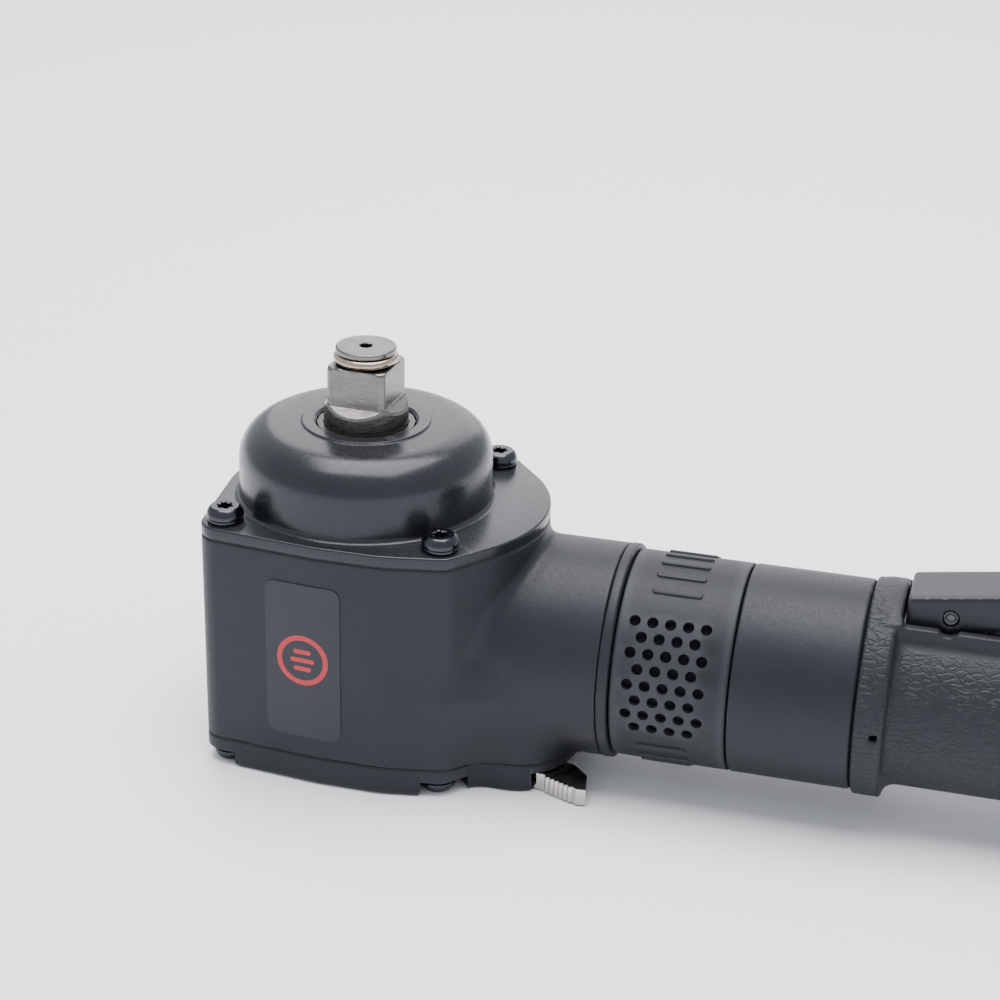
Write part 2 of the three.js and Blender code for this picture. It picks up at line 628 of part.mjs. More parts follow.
// a flat lever whose arm and thumb pad lie between two radial lines
function makeReverseLever() {
  const at = (r, degrees) => [r * Math.cos(degrees * TURN), r * Math.sin(degrees * TURN)];
  const [a, b] = [LEVER_SIDE_A, LEVER_SIDE_B];
  const arm = raise([at(6, a), at(THUMB_R, a), at(THUMB_R, b), at(6, b)], LEVER_Z,
    LEVER_Z + LEVER_ARM_T);
  const pad = raise(
    [at(THUMB_R, a), at(THUMB_END_R - 2, a), at(THUMB_END_R, a + 1.2),
      at(THUMB_END_R - 3, a + 6), at(LOBE_R + 1.4, b), at(THUMB_R, b)],
    0.2, LEVER_TOP,
  );
  const hub = rod(LEVER_HUB_R, LEVER_Z, LEVER_Z + LEVER_ARM_T, MEDIUM);
  const half = DRIVE_STUB / 2 + RUN;
  return all(hub, arm, pad).subtract(box(-half, half, -half, half, LEVER_Z - CUT, LEVER_Z + CUT));
}

// ---------- head and neck ----------
function makeHousing() {
  const head = raise(headOutline(), HEAD_BOTTOM, HEAD_TOP);
  const chin = raise(lobeOutline(), HEAD_BOTTOM, HANDLE_Z - NECK_R + 9);
  const neck = rodX(NECK_R, 0, NECK_END, FINE);
  const spigot = rodX(SPIGOT_R, NECK_END - 1, SPIGOT_END, FINE);
  const seat = baseSlab(-CUT, HEAD_BOTTOM, GAP);
  const under = box(0, NECK_END + CUT, -40, 40, -CUT, UNDERCUT_Z);
  const bore = rod(MOTOR_BORE_R, -CUT, HEAD_TOP + CUT, FINE);
  const air = rodX(AIR_R + FIT, 0, SPIGOT_END + CUT, MEDIUM);
  const holes = screwHoles(M4_R + FIT, HEAD_TOP - M4_LENGTH, HEAD_TOP + CUT);
  const baseHoles = screwHoles(M4_R + FIT, -CUT, HEAD_BOTTOM + BASE_SCREW_LENGTH);
  const exhausts = around(EXHAUSTS).map((a) => exhaustPassage(a + 30));
  return minus(all(head, chin, neck, spigot), seat, under, bore, air, holes, baseHoles, ...exhausts);
}

// a passage along the neck that opens through a slot in the spigot's wall
function exhaustPassage(degrees) {
  const y = EXHAUST_AT * Math.cos(degrees * TURN);
  const z = EXHAUST_AT * Math.sin(degrees * TURN);
  const along = rodX(EXHAUST_R, 15, SPIGOT_END - 6, 12, 0).translate([0, y, z]);
  const slot = box(SLEEVE_X + 4, SPIGOT_END - 8, EXHAUST_AT, SPIGOT_R + CUT, -1.6, 1.6);
  const turned = slot.rotate([degrees, 0, 0]);
  return along.add(turned).translate([0, 0, HANDLE_Z]);
}

function makeBead() {
  const profile = [
    [SPIGOT_R + FIT, NECK_END + 0.02], ...arc(BEAD_R - 0.6, NECK_END + 0.62, 0.6, 270, 360, 2)
      .map(([r, x]) => [r, x]), [BEAD_R, NECK_END + BEAD_L - 0.6],
    [BEAD_R - 0.6, NECK_END + BEAD_L], [SPIGOT_R + FIT, NECK_END + BEAD_L],
    [SPIGOT_R + FIT, NECK_END + 0.02]];
  const flat = box(NECK_END - CUT, NECK_END + CUT, -40, 40, -CUT, UNDERCUT_Z);
  return turnX(profile, FINE).subtract(flat);
}

// ---------- exhaust deflector ----------
// a place on the handle's surface: x, radius and degrees above the horizontal, facing -Y
const onHandle = (s, degrees) => s.rotate([-degrees, 0, 0]).translate([0, 0, HANDLE_Z]);

function makeDeflector() {
  const end = SLEEVE_X + SLEEVE_L;
  const inner = SLEEVE_R - SLEEVE_WALL;
  const low = SPIGOT_R + RUN;
  const shell = turnX(
    [[low, SLEEVE_X], [SLEEVE_R, SLEEVE_X], [SLEEVE_R, end], [low, end],
      [low, end - SLEEVE_END_WALL], [inner, end - SLEEVE_END_WALL],
      [inner, SLEEVE_X + SLEEVE_END_WALL], [low, SLEEVE_X + SLEEVE_END_WALL], [low, SLEEVE_X]],
    FINE,
  );
  const middle = SLEEVE_X + 10.7;
  const ribs = Array.from({ length: RIBS }, (_, i) =>
    onHandle(
      box(middle - RIB_L / 2, middle + RIB_L / 2, -SLEEVE_R - RIB_H, -SLEEVE_R + 0.6,
        -RIB_W / 2, RIB_W / 2),
      RIB_FIRST + i * RIB_STEP,
    ),
  );
  return minus(all(shell, ...ribs), ...deflectorHoles(middle));
}

// staggered rows: five holes, then four in their gaps, and so on
function deflectorHoles(middle) {
  const holes = [];
  for (let row = 0; row < HOLE_ROWS; row++) {
    const count = row % 2 ? 4 : 5;
    for (let i = 0; i < count; i++) {
      const x = middle + (i - (count - 1) / 2) * HOLE_PITCH;
      const g = new THREE.CylinderGeometry(HOLE_R, HOLE_R, 2 * SLEEVE_WALL + 2, 6);
      g.translate(x, -SLEEVE_R + SLEEVE_WALL / 2, 0);
      holes.push(onHandle(solid(g), HOLE_TOP - row * HOLE_STEP));
    }
  }
  return holes;
}

function makeSilencer() {
  const inner = SPIGOT_R + FIT;
  const outer = SLEEVE_R - SLEEVE_WALL - GAP;
  const from = SLEEVE_X + SLEEVE_END_WALL + GAP;
  return tubeX(inner, outer, from, SLEEVE_X + SLEEVE_L - SLEEVE_END_WALL - GAP, FINE);
}

// ---------- handle ----------
const CORE_X = SPIGOT_END + 1.6;

function makeHandleTube() {
  const edge = 0.45;
  const low = SPIGOT_R + FIT;
  const end = TUBE_X + TUBE_L;
  return turnX(
    [[low, TUBE_X], [TUBE_R - edge, TUBE_X], [TUBE_R, TUBE_X + edge], [TUBE_R, end - 1.2],
      [TUBE_R - 0.5, end - 0.4], [TUBE_R - 1.2, end], [low, end], [low, TUBE_X]],
    FINE,
  );
}

const makeAirTube = () => tubeX(AIR_R - AIR_WALL, AIR_R, MOTOR_BORE_R + 1.2, CORE_X + 20, MEDIUM);

function makeTubeSeal() {
  const x = SPIGOT_END + 0.8;
  return tubeX(AIR_R + FIT, AIR_R + FIT + 2.2, x - 0.6, x + 0.6, MEDIUM);
}

function makeHandleBody() {
  const low = 0;
  const shape = turnX(
    [[low, CORE_X], [SPIGOT_R, CORE_X], [SPIGOT_R, GRIP_X + 1], [CORE_R, GRIP_X + 1],
      [CORE_R, REAR_X], [REAR_R, REAR_X], [REAR_R, REAR_END - 1.5], [REAR_R - 1.5, REAR_END],
      [low, REAR_END]],
    FINE,
  );
  const boss = box(PIVOT_X - BOSS_FRONT, PIVOT_X + BOSS_BACK, -BOSS_HALF, BOSS_HALF, HANDLE_Z,
    PIVOT_Z + BOSS_ABOVE);
  const seatR = AIR_R + FIT;
  const front = rodX(seatR, CORE_X - CUT, CORE_X + 22, MEDIUM);
  const passage = rodX(AIR_R - AIR_WALL, CORE_X, REAR_END, MEDIUM);
  const inlet = rodX(INLET_THREAD_R + FIT, REAR_END - INLET_THREAD_L - 0.8, REAR_END + CUT, MEDIUM);
  const chamber = rod(CHAMBER_R, HANDLE_Z - CORE_R - CUT, CHAMBER_TOP, MEDIUM, ROD_X, 0);
  const cap = rod(CAP_R + FIT, HANDLE_Z - CORE_R - CUT, CAP_Z + CAP_T + FIT, MEDIUM, ROD_X, 0);
  const rodHole = rod(ROD_R + RUN, CHAMBER_TOP - 1, HANDLE_Z + CORE_R + CUT, SMALL, ROD_X, 0);
  const pin = acrossPin(PIVOT_R + FIT, BOSS_HALF + CUT);
  return minus(shape.add(boss), front, passage, inlet, chamber, cap, rodHole, pin);
}

// a round bar through the lever's pivot, along Y
function acrossPin(r, half) {
  const g = new THREE.CylinderGeometry(r, r, 2 * half, SMALL);
  g.translate(PIVOT_X, 0, PIVOT_Z);
  return solid(g);
}

function makeGrip() {
  const blend = 2.6;
  const collar = turnX(
    [[0, GRIP_X], [GRIP_COLLAR_R - 0.4, GRIP_X], [GRIP_COLLAR_R, GRIP_X + 0.4],
      [GRIP_COLLAR_R, GRIP_X + GRIP_COLLAR_L],
      [GRIP_COLLAR_R - 1.2, GRIP_X + GRIP_COLLAR_L + 1.1],
      [GRIP_R - 0.6, GRIP_X + GRIP_COLLAR_L + blend], [0, GRIP_X + GRIP_COLLAR_L + blend]],
    FINE,
  );

  const tail = 5;
  const barrel = turnX(
    [[0, GRIP_X + 2], [GRIP_R, GRIP_X + 2], [GRIP_R, GRIP_END - tail - 3],
      [GRIP_R + 0.8, GRIP_END - tail], [GRIP_R + 0.8, GRIP_END - 1], [GRIP_R, GRIP_END],
      [0, GRIP_END]],
    FINE,
  );
  const lip = box(LIP_START, SLOT_END + LIP_W, -SLOT_HALF - LIP_W, SLOT_HALF + LIP_W, HANDLE_Z,
    LIP_TOP);
  const core = turnX(
    [[0, GRIP_X - CUT], [SPIGOT_R + FIT, GRIP_X - CUT], [SPIGOT_R + FIT, GRIP_X + 1 + GAP],
      [CORE_R + FIT, GRIP_X + 1 + GAP], [CORE_R + FIT, GRIP_END + CUT], [0, GRIP_END + CUT]],
    FINE,
  );
  const slot = box(SLOT_FRONT, SLOT_END, -SLOT_HALF, SLOT_HALF, HANDLE_Z + CORE_R - 4,
    HANDLE_Z + 40);
  const inCollar = turnX([[0, GRIP_X], [GRIP_COLLAR_R, GRIP_X], [GRIP_COLLAR_R, SLOT_FRONT],
    [0, SLOT_FRONT]], FINE);
  const frontWall = box(GRIP_X + 2, SLOT_FRONT, -SLOT_HALF - LIP_W, SLOT_HALF + LIP_W,
    HANDLE_Z, HANDLE_Z + GRIP_COLLAR_R + 1).intersect(inCollar);
  return minus(all(collar, barrel, lip, frontWall), core, slot);
}

// ---------- throttle ----------
// the lever's side profile, pressed down flat, as [x, z] measured from the pivot
function leverProfile() {
  const top = LEVER_TOP_ABOVE;
  const foot = top - LEVER_DEEP;
  const edge = top - LEVER_SHALLOW;
  const nose = arc(-LEVER_FRONT + 1.6, top - 1.6, 1.6, 180, 90, 3);
  const tip = arc(LEVER_BACK - 3, top - 3, 3, 90, 0, 4);
  return [[-LEVER_FRONT + 0.9, foot], ...nose, ...tip, [LEVER_BACK - 1, edge],
    [28, edge], [11, foot]];
}

function makeThrottleLever() {
  const place = ([x, z]) => [PIVOT_X + x, PIVOT_Z + z];
  const half = LEVER_W / 2 + LEVER_DRAFT;
  const block = acrossY(leverProfile().map(place), half);
  const top = PIVOT_Z + LEVER_TOP_ABOVE;
  // both flanks lean inwards towards the top
  const lean = [-1, 1].map((s) => {
    const wedge = new THREE.BoxGeometry(3 * LEVER_BACK, 2 * CUT, 3 * LEVER_DEEP);
    wedge.translate(0, s * CUT, 0);
    wedge.rotateX(s * Math.atan2(LEVER_DRAFT, LEVER_DEEP));
    wedge.translate(PIVOT_X, s * (LEVER_W / 2), top);
    return solid(wedge);
  });
  const skin = LEVER_SKIN;
  const channel = box(PIVOT_X - LEVER_FRONT + skin, PIVOT_X + LEVER_BACK - 5,
    -LEVER_W / 2 + skin, LEVER_W / 2 - skin, PIVOT_Z - 20, top - skin);
  const flat = minus(block, ...lean, channel, acrossPin(PIVOT_R + RUN, half + CUT));
  return flat
    .translate([-PIVOT_X, 0, -PIVOT_Z])
    .rotate([0, -THROTTLE_TILT, 0])
    .translate([PIVOT_X, 0, PIVOT_Z]);
}

const makeLeverPin = () => acrossPin(PIVOT_R, LEVER_W / 2 + 0.1);

// the lever's underside above the push rod, with the lever released
function undersideAt(x) {
  const tilt = THROTTLE_TILT * TURN;
  const below = LEVER_TOP_ABOVE - LEVER_SKIN;
  return PIVOT_Z + (x - PIVOT_X) * Math.tan(tilt) + below / Math.cos(tilt);
}

function makePushRod() {
  const top = undersideAt(ROD_X - ROD_R) - 0.35;
  return turnZ(
    [[0, CHAMBER_TOP - 1], [ROD_R, CHAMBER_TOP - 1], [ROD_R, top - 0.8], [0, top]],
    SMALL, ROD_X, 0,
  );
}

const PLUG_TOP = CHAMBER_TOP - 1 - 0.05;
const PLUG_Z = PLUG_TOP - PLUG_H;
const CAP_Z = HANDLE_Z - Math.sqrt(CORE_R * CORE_R - CAP_R * CAP_R) + GAP;

const makeValvePlug = () =>
  turnZ(
    [[0, PLUG_Z], [PLUG_R - 1.2, PLUG_Z], [PLUG_R, PLUG_Z + 1.2], [PLUG_R, PLUG_TOP - 1.6],
      [PLUG_R - 1.4, PLUG_TOP], [0, PLUG_TOP]],
    SMALL, ROD_X, 0,
  );

const makeValveCap = () => rod(CAP_R, CAP_Z, CAP_Z + CAP_T, MEDIUM, ROD_X, 0);

// a compression spring between the cap and the plug, as a wire along a helix
function makeValveSpring() {
  const from = CAP_Z + CAP_T + SPRING_WIRE + 0.1;
  const to = PLUG_Z - SPRING_WIRE - 0.1;
  const points = Array.from({ length: SPRING_TURNS * 8 + 1 }, (_, i) => {
    const t = i / (SPRING_TURNS * 8);
    const a = 2 * Math.PI * SPRING_TURNS * t;
    const z = from + (to - from) * t;
    return new THREE.Vector3(ROD_X + SPRING_R * Math.cos(a), SPRING_R * Math.sin(a), z);
  });
  const section = new THREE.Shape(circle(0, 0, SPRING_WIRE, 5).map(([x, y]) => new THREE.Vector2(x, y)));
  const g = new THREE.ExtrudeGeometry(section, {
    steps: SPRING_TURNS * 8,
    extrudePath: new THREE.CatmullRomCurve3(points),
    bevelEnabled: false,
  });
  return solid(g);
}

// ---------- inlet ----------
function makeInletBushing() {
  const from = REAR_END - INLET_THREAD_L;
  const hexX = REAR_END + GAP;
  const neckR = INLET_THREAD_R;
  const body = rodX(neckR, from, hexX + 1, MEDIUM);
  const hex = rodX(hexCorner(HEX_AF), hexX, hexX + HEX_L, 6);
  const turned = turnX(
    [[0, hexX], [HEX_AF / 2 + 1.7, hexX], [HEX_AF / 2 + 1.7, hexX + HEX_L - 1.2],
      [HEX_AF / 2 - 0.3, hexX + HEX_L], [0, hexX + HEX_L]],
    MEDIUM,
  );
  return minus(body.add(hex.intersect(turned)), rodX(INLET_BORE_R, from - CUT, hexX + HEX_L + CUT, MEDIUM));
}

function makeInletScreen() {
  const x = REAR_END - INLET_THREAD_L + 1;
  const disc = rodX(INLET_BORE_R - FIT, x, x + 1.2, MEDIUM);
  const holes = [0, ...around(6)].map((a, i) => {
    const r = i ? 3.4 : 0;
    return rodX(0.9, x - CUT, x + CUT, 8, HANDLE_Z + r * Math.sin(a * TURN))
      .translate([0, r * Math.cos(a * TURN), 0]);
  });
  return minus(disc, ...holes);
}

// ---------- label ----------
function makeLabel() {
  const [w, h, c] = [LABEL_W / 2 - LABEL_CORNER, LABEL_H / 2 - LABEL_CORNER, LABEL_CORNER];
  const outline = hull([[-w, -h], [w, -h], [w, h], [-w, h]].flatMap(([x, z]) => circle(x, z, c, 16)));
  const g = new THREE.ExtrudeGeometry(
    new THREE.Shape(outline.map(([x, z]) => new THREE.Vector2(LABEL_X + x, LABEL_Z + z))),
    { depth: HEAD_R, bevelEnabled: false },
  );
  g.rotateX(Math.PI / 2);
  g.translate(0, -CUT, 0);
  const skin = raise(headOutline(LABEL_T + 0.02), 0, HEAD_TOP);
  return solid(g).intersect(skin).subtract(raise(headOutline(0.02), -CUT, HEAD_TOP + CUT));
}

// ---------- materials ----------
const finish = (color, roughness, metalness) =>
  new THREE.MeshStandardMaterial({ color, roughness, metalness });
const blackPaint = finish(0x1d1f24, 0.35, 0.2);
const castBlack = finish(0x1b1c20, 0.55, 0.2);
const blackRubber = finish(0x18191b, 0.8, 0);
const blackOxide = finish(0x17181a, 0.4, 0.8);
const steel = finish(0x9a9a9c, 0.35, 1);
const darkSteel = finish(0x55565a, 0.5, 1);
const nickel = finish(0xd9d4cb, 0.15, 1);
const springWire = finish(0xa08a74, 0.3, 1);
const bronze = finish(0x9a7340, 0.45, 1);
const aluminium = finish(0xb4b6ba, 0.45, 1);
const fibre = finish(0x6d5a45, 0.9, 0);
const felt = finish(0x8a8172, 1, 0);
const film = finish(0x2a2c33, 0.3, 0);

// ---------- assembly ----------
const group = new THREE.Group();

function add(name, manifold, material) {
  const { vertProperties, triVerts } = manifold.getMesh();
  const g = new THREE.BufferGeometry();
  g.setAttribute("position", new THREE.BufferAttribute(new Float32Array(vertProperties), 3));
  g.setIndex(new THREE.BufferAttribute(new Uint32Array(triVerts), 1));
  g.computeVertexNormals();
  const mesh = new THREE.Mesh(g, material);
  mesh.name = name;
  group.add(mesh);
  return mesh;
}

add("anvil", makeAnvil(), steel);
add("anvil_ring", makeAnvilRing(), springWire);
add("anvil_bushing", makeBushing(), bronze);
add("hammer_case_cover", makeCover(), blackPaint);
add("cover_gasket", makeCoverGasket(), fibre);
screwPlaces.forEach(([x, y], i) => {
  const top = FLANGE_TOP + WASHER_T;
  add(`cover_lock_washer_${i + 1}`, spin(lockWasher(), 70 * i).translate([x, y, FLANGE_TOP]), darkSteel);
  add(`cover_screw_${i + 1}`, spin(buttonScrew(M4_LENGTH), 25 * i).translate([x, y, top]), blackOxide);
});
add("head_housing", makeHousing(), blackPaint);
add("hammer_cage", makeCage(), darkSteel);
[0, 1].forEach((i) => {
  add(`hammer_dog_${i + 1}`, makeDog(i), darkSteel);
  add(`hammer_pin_${i + 1}`, makeHammerPin(i ? 1 : -1), steel);
});
add("rotor", makeRotor(), steel);
around(VANES).forEach((a, i) => add(`rotor_vane_${i + 1}`, makeVane(a), fibre));
add("cylinder_liner", makeLiner(), darkSteel);
add("rear_end_plate", makeEndPlate(MOTOR_Z, MOTOR_Z - CUT, MOTOR_Z + BEARING_H + FIT), darkSteel);
add("front_end_plate", makeEndPlate(FRONT_Z, FRONT_BEARING_Z - FIT, FRONT_Z + PLATE_T + CUT), darkSteel);
add("rear_bearing", makeBearing(MOTOR_Z), steel);
add("front_bearing", makeBearing(FRONT_BEARING_Z), steel);
add("base_gasket", makeBaseGasket(), fibre);
add("bottom_cover", makeBottomCover(), blackPaint);
screwPlaces.forEach(([x, y], i) => {
  const under = (s) => s.rotate([180, 0, 0]).translate([x, y, POCKET_DEPTH - WASHER_T]);
  add(`base_lock_washer_${i + 1}`,
    spin(lockWasher(), 50 * i).translate([x, y, POCKET_DEPTH - WASHER_T]), darkSteel);
  add(`base_screw_${i + 1}`, under(buttonScrew(BASE_SCREW_LENGTH)), blackOxide);
});
add("reverse_valve", makeReverseValve(), steel);
add("reverse_lever", makeReverseLever(), nickel);
add("neck_bead", makeBead(), blackPaint);
add("exhaust_deflector", makeDeflector(), castBlack);
add("silencer", makeSilencer(), felt);
add("handle_tube", makeHandleTube(), blackPaint);
add("air_tube", makeAirTube(), aluminium);
add("tube_seal", makeTubeSeal(), blackRubber);
add("handle_body", makeHandleBody(), aluminium);
add("grip", makeGrip(), blackRubber);
add("throttle_lever", makeThrottleLever(), blackPaint);
add("lever_pin", makeLeverPin(), steel);
add("push_rod", makePushRod(), steel);
add("valve_plug", makeValvePlug(), bronze);
add("valve_spring", makeValveSpring(), springWire);
add("valve_cap", makeValveCap(), bronze);
add("inlet_bushing", makeInletBushing(), nickel);
add("inlet_screen", makeInletScreen(), bronze);
add("label", makeLabel(), film);

export default group;
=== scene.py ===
# %% [markdown]
# # A compact angle-head impact wrench
# An oval cast head carries a square drive that points up, and the handle leaves it
# sideways: a cast neck, a perforated exhaust sleeve, a plain tube and a rubber grip
# with a long throttle lever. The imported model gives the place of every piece. The
# cells below make the finished surfaces, and sizes are written in millimetres,
# because that is how a machinist would write them.

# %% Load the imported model
import math
import bmesh
import bpy
import numpy as np
from mathutils import Matrix, Vector
from mathutils.geometry import delaunay_2d_cdt


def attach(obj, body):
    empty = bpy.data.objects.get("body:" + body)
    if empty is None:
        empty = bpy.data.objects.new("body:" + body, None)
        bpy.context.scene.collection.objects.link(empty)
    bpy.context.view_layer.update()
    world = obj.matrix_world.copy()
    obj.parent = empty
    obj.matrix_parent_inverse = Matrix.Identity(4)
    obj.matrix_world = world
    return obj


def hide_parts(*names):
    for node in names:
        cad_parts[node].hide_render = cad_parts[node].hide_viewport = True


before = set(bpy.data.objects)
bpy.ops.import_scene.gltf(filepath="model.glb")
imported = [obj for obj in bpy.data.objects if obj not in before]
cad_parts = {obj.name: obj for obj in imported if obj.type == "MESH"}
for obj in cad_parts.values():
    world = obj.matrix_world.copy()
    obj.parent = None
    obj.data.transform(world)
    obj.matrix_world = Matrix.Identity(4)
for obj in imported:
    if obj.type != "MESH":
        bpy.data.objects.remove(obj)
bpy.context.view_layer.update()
MM = 0.001
print("pieces in the packed model:", len(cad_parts))

# %% [markdown]
# ## From arrays to a mesh
# Every piece starts as an array of points and an array of faces. Points that meet,
# such as those at a pole or a seam, are welded, and the faces are turned outwards
# before the piece gets its finish. Faces that meet at more than SHARP_DEG show a sharp
# edge, and the others are shaded as one smooth skin.

# %% Mesh helpers
WELD = 1e-6
SHARP_DEG = 32
NEVER_SHARP = 180


def weld_up(mesh):
    """Points that meet become one, and every face turns outwards."""
    soft = bmesh.new()
    soft.from_mesh(mesh)
    bmesh.ops.remove_doubles(soft, verts=soft.verts, dist=WELD)
    bmesh.ops.recalc_face_normals(soft, faces=soft.faces)
    soft.to_mesh(mesh)
    soft.free()


def make_piece(name, shells, material, replaces, body, weld=True, sharp=SHARP_DEG):
    """One object from a list of (points in mm, faces); it rides on body for a node."""
    mesh = bpy.data.meshes.new(name)
    points, faces, start = [], [], 0
    for verts, polys in shells:
        verts = np.asarray(verts, float).reshape(-1, 3)
        points.append(verts)
        faces += [[int(i) + start for i in poly] for poly in polys]
        start += len(verts)
    mesh.from_pydata((np.vstack(points) * MM).tolist(), [], faces)
    if weld:
        weld_up(mesh)
    mesh.polygons.foreach_set("use_smooth", np.ones(len(mesh.polygons), bool))
    if sharp < NEVER_SHARP:
        mesh.set_sharp_from_angle(angle=math.radians(sharp))
    mesh.materials.append(material)
    piece = bpy.data.objects.new(name, mesh)
    bpy.context.scene.collection.objects.link(piece)
    if replaces:
        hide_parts(replaces)
    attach(piece, body)
    print(f"{name}: {len(mesh.vertices)} points, {len(mesh.polygons)} faces")
    return piece


def grid_faces(rows, columns, wrap_rows=False, wrap_columns=True):
    """Quads between neighbouring points of a rows x columns grid, wrapped where said."""
    i = np.arange(rows if wrap_rows else rows - 1)
    j = np.arange(columns if wrap_columns else columns - 1)
    i, j = np.meshgrid(i, j, indexing="ij")
    up, on = (i + 1) % rows, (j + 1) % columns
    quads = [i * columns + j, i * columns + on, up * columns + on, up * columns + j]
    return np.stack(quads, -1).reshape(-1, 4)


# %% [markdown]
# ## Turned and raised shapes
# Most of this tool was cut on a lathe. A turned shape is a profile of (radius,
# height) pairs carried round an axis. Where the radius also changes round the axis,
# as for the oval flange or the socket of a screw, each row brings its own radii. Flat
# pieces are an outline carried up, drawn in a little where the edge is rounded.

# %% Profiles and turning
def rounded(corners, steps=5):
    """A closed outline; corner (a, b, r) becomes an arc of radius r touching both sides."""
    places = np.array([c[:2] for c in corners], float)
    out = []
    for i, corner in enumerate(corners):
        r = corner[2] if len(corner) > 2 else 0
        if not r:
            out.append(places[i][None])
            continue
        u = places[i - 1] - places[i]
        v = places[(i + 1) % len(corners)] - places[i]
        u, v = u / np.linalg.norm(u), v / np.linalg.norm(v)
        half = math.acos(np.clip(u @ v, -1, 1)) / 2
        middle = places[i] + (u + v) / np.linalg.norm(u + v) * r / math.sin(half)
        a = places[i] + u * r / math.tan(half) - middle
        b = places[i] + v * r / math.tan(half) - middle
        sweep = math.pi - 2 * half
        t = np.linspace(0, 1, steps + 1)[:, None]
        arc = (np.sin((1 - t) * sweep) * a + np.sin(t * sweep) * b) / math.sin(sweep)
        out.append(middle + arc)
    return np.vstack(out)


def turned(profile, sides=144, axis="z", centre=(0, 0), closed=True):
    """Each (r, h) becomes a ring of radius r at height h along the axis through centre."""
    profile = np.asarray(profile, float)
    t = np.linspace(0, 2 * np.pi, sides, endpoint=False)
    r, h = profile[:, :1], profile[:, 1:] + 0 * t
    a, b = r * np.cos(t), r * np.sin(t)
    if axis == "x":
        grid = np.stack([h, a + centre[0], b + centre[1]], -1)
    elif axis == "y":
        grid = np.stack([a + centre[0], h, b + centre[1]], -1)
    else:
        grid = np.stack([a + centre[0], b + centre[1], h], -1)
    return grid.reshape(-1, 3), grid_faces(len(profile), sides, wrap_rows=closed)


def turned_by(radius_rows, heights, closed=False):
    """The same about Z where each row brings its own radius for every angle."""
    rows = np.asarray(radius_rows, float)
    t = np.linspace(0, 2 * np.pi, rows.shape[1], endpoint=False)
    z = np.asarray(heights, float)[:, None] + 0 * t
    grid = np.stack([rows * np.cos(t), rows * np.sin(t), z], -1)
    return grid.reshape(-1, 3), grid_faces(len(rows), len(t), wrap_rows=closed)


def raised(outline, rim):
    """An outline carried up (inset, height) pairs, each point moving in along its normal."""
    outline = np.asarray(outline, float)
    along = np.roll(outline, -1, 0) - np.roll(outline, 1, 0)
    along /= np.maximum(np.linalg.norm(along, axis=1), 1e-9)[:, None]
    x, y = outline.T
    area = (x * np.roll(y, -1) - np.roll(x, -1) * y).sum()
    inward = np.stack([-along[:, 1], along[:, 0]], -1) * (1 if area > 0 else -1)
    n = len(outline)
    rows = [np.c_[outline + inward * inset, np.full(n, h)] for inset, h in rim]
    faces = grid_faces(len(rim), n).tolist()
    faces += [list(range(n))[::-1], list(range(n * (len(rim) - 1), n * len(rim)))]
    return np.vstack(rows), faces


def bar_shell(r, low, high, centre, sides=48):
    """A plain round bar that stands on z = low."""
    return turned([(0, low), (r, low), (r, high), (0, high)], sides, centre=centre, closed=False)


# %% [markdown]
# ## The oval of the head
# From above the head is an oval with a rounded corner for each screw, and the
# bottom cover has a lobe that reaches under the neck. Both outlines are kept as one
# radius for each angle about the anvil, so flange, gaskets and cover can share them.

# %% Outlines as radius over angle
HEAD_R = 29.4
HEAD_REACH = 9.3
CORNER_R = 4.9
SCREW_X, SCREW_Y = 22.6, 22.3
LOBE_R, LOBE_HALF, LOBE_CORNER = 49.2, 20.4, 12.0
ANGLES = 720
theta = np.linspace(0, 2 * np.pi, ANGLES, endpoint=False)
SCREWS = [(-SCREW_X, -SCREW_Y), (SCREW_X, -SCREW_Y), (SCREW_X, SCREW_Y), (-SCREW_X, SCREW_Y)]


def support_outline(circles):
    """The hull of circles: for each direction the point of the circle farthest that way."""
    normal = np.stack([np.cos(theta), np.sin(theta)], -1)
    reach = np.stack([normal @ np.array(c[:2]) + c[2] for c in circles], -1)
    far = np.array([c[:2] for c in circles])[reach.argmax(1)]
    size = np.array([c[2] for c in circles])[reach.argmax(1)]
    return far + normal * size[:, None]


def filled_in(outline, gap=0.15):
    """The same closed outline with points along its straight runs too."""
    after = np.roll(outline, -1, 0)
    counts = np.ceil(np.linalg.norm(after - outline, axis=1) / gap).astype(int)
    keep = counts > 0
    return np.vstack([a + (b - a) * np.linspace(0, 1, n, endpoint=False)[:, None]
                      for a, b, n in zip(outline[keep], after[keep], counts[keep])])


def radius_over_angle(outline):
    """Where a ray from the anvil's axis crosses the outline, for every angle."""
    dense = filled_in(outline)
    polar = np.arctan2(dense[:, 1], dense[:, 0]) % (2 * np.pi)
    order = polar.argsort()
    return np.interp(theta, polar[order], np.hypot(*dense[order].T), period=2 * np.pi)


def soft_max(a, b, blend):
    """The larger of two, with the kink between them rounded over the blend's width."""
    h = np.maximum(blend - np.abs(a - b), 0) / blend
    return np.maximum(a, b) + h * h * blend / 4


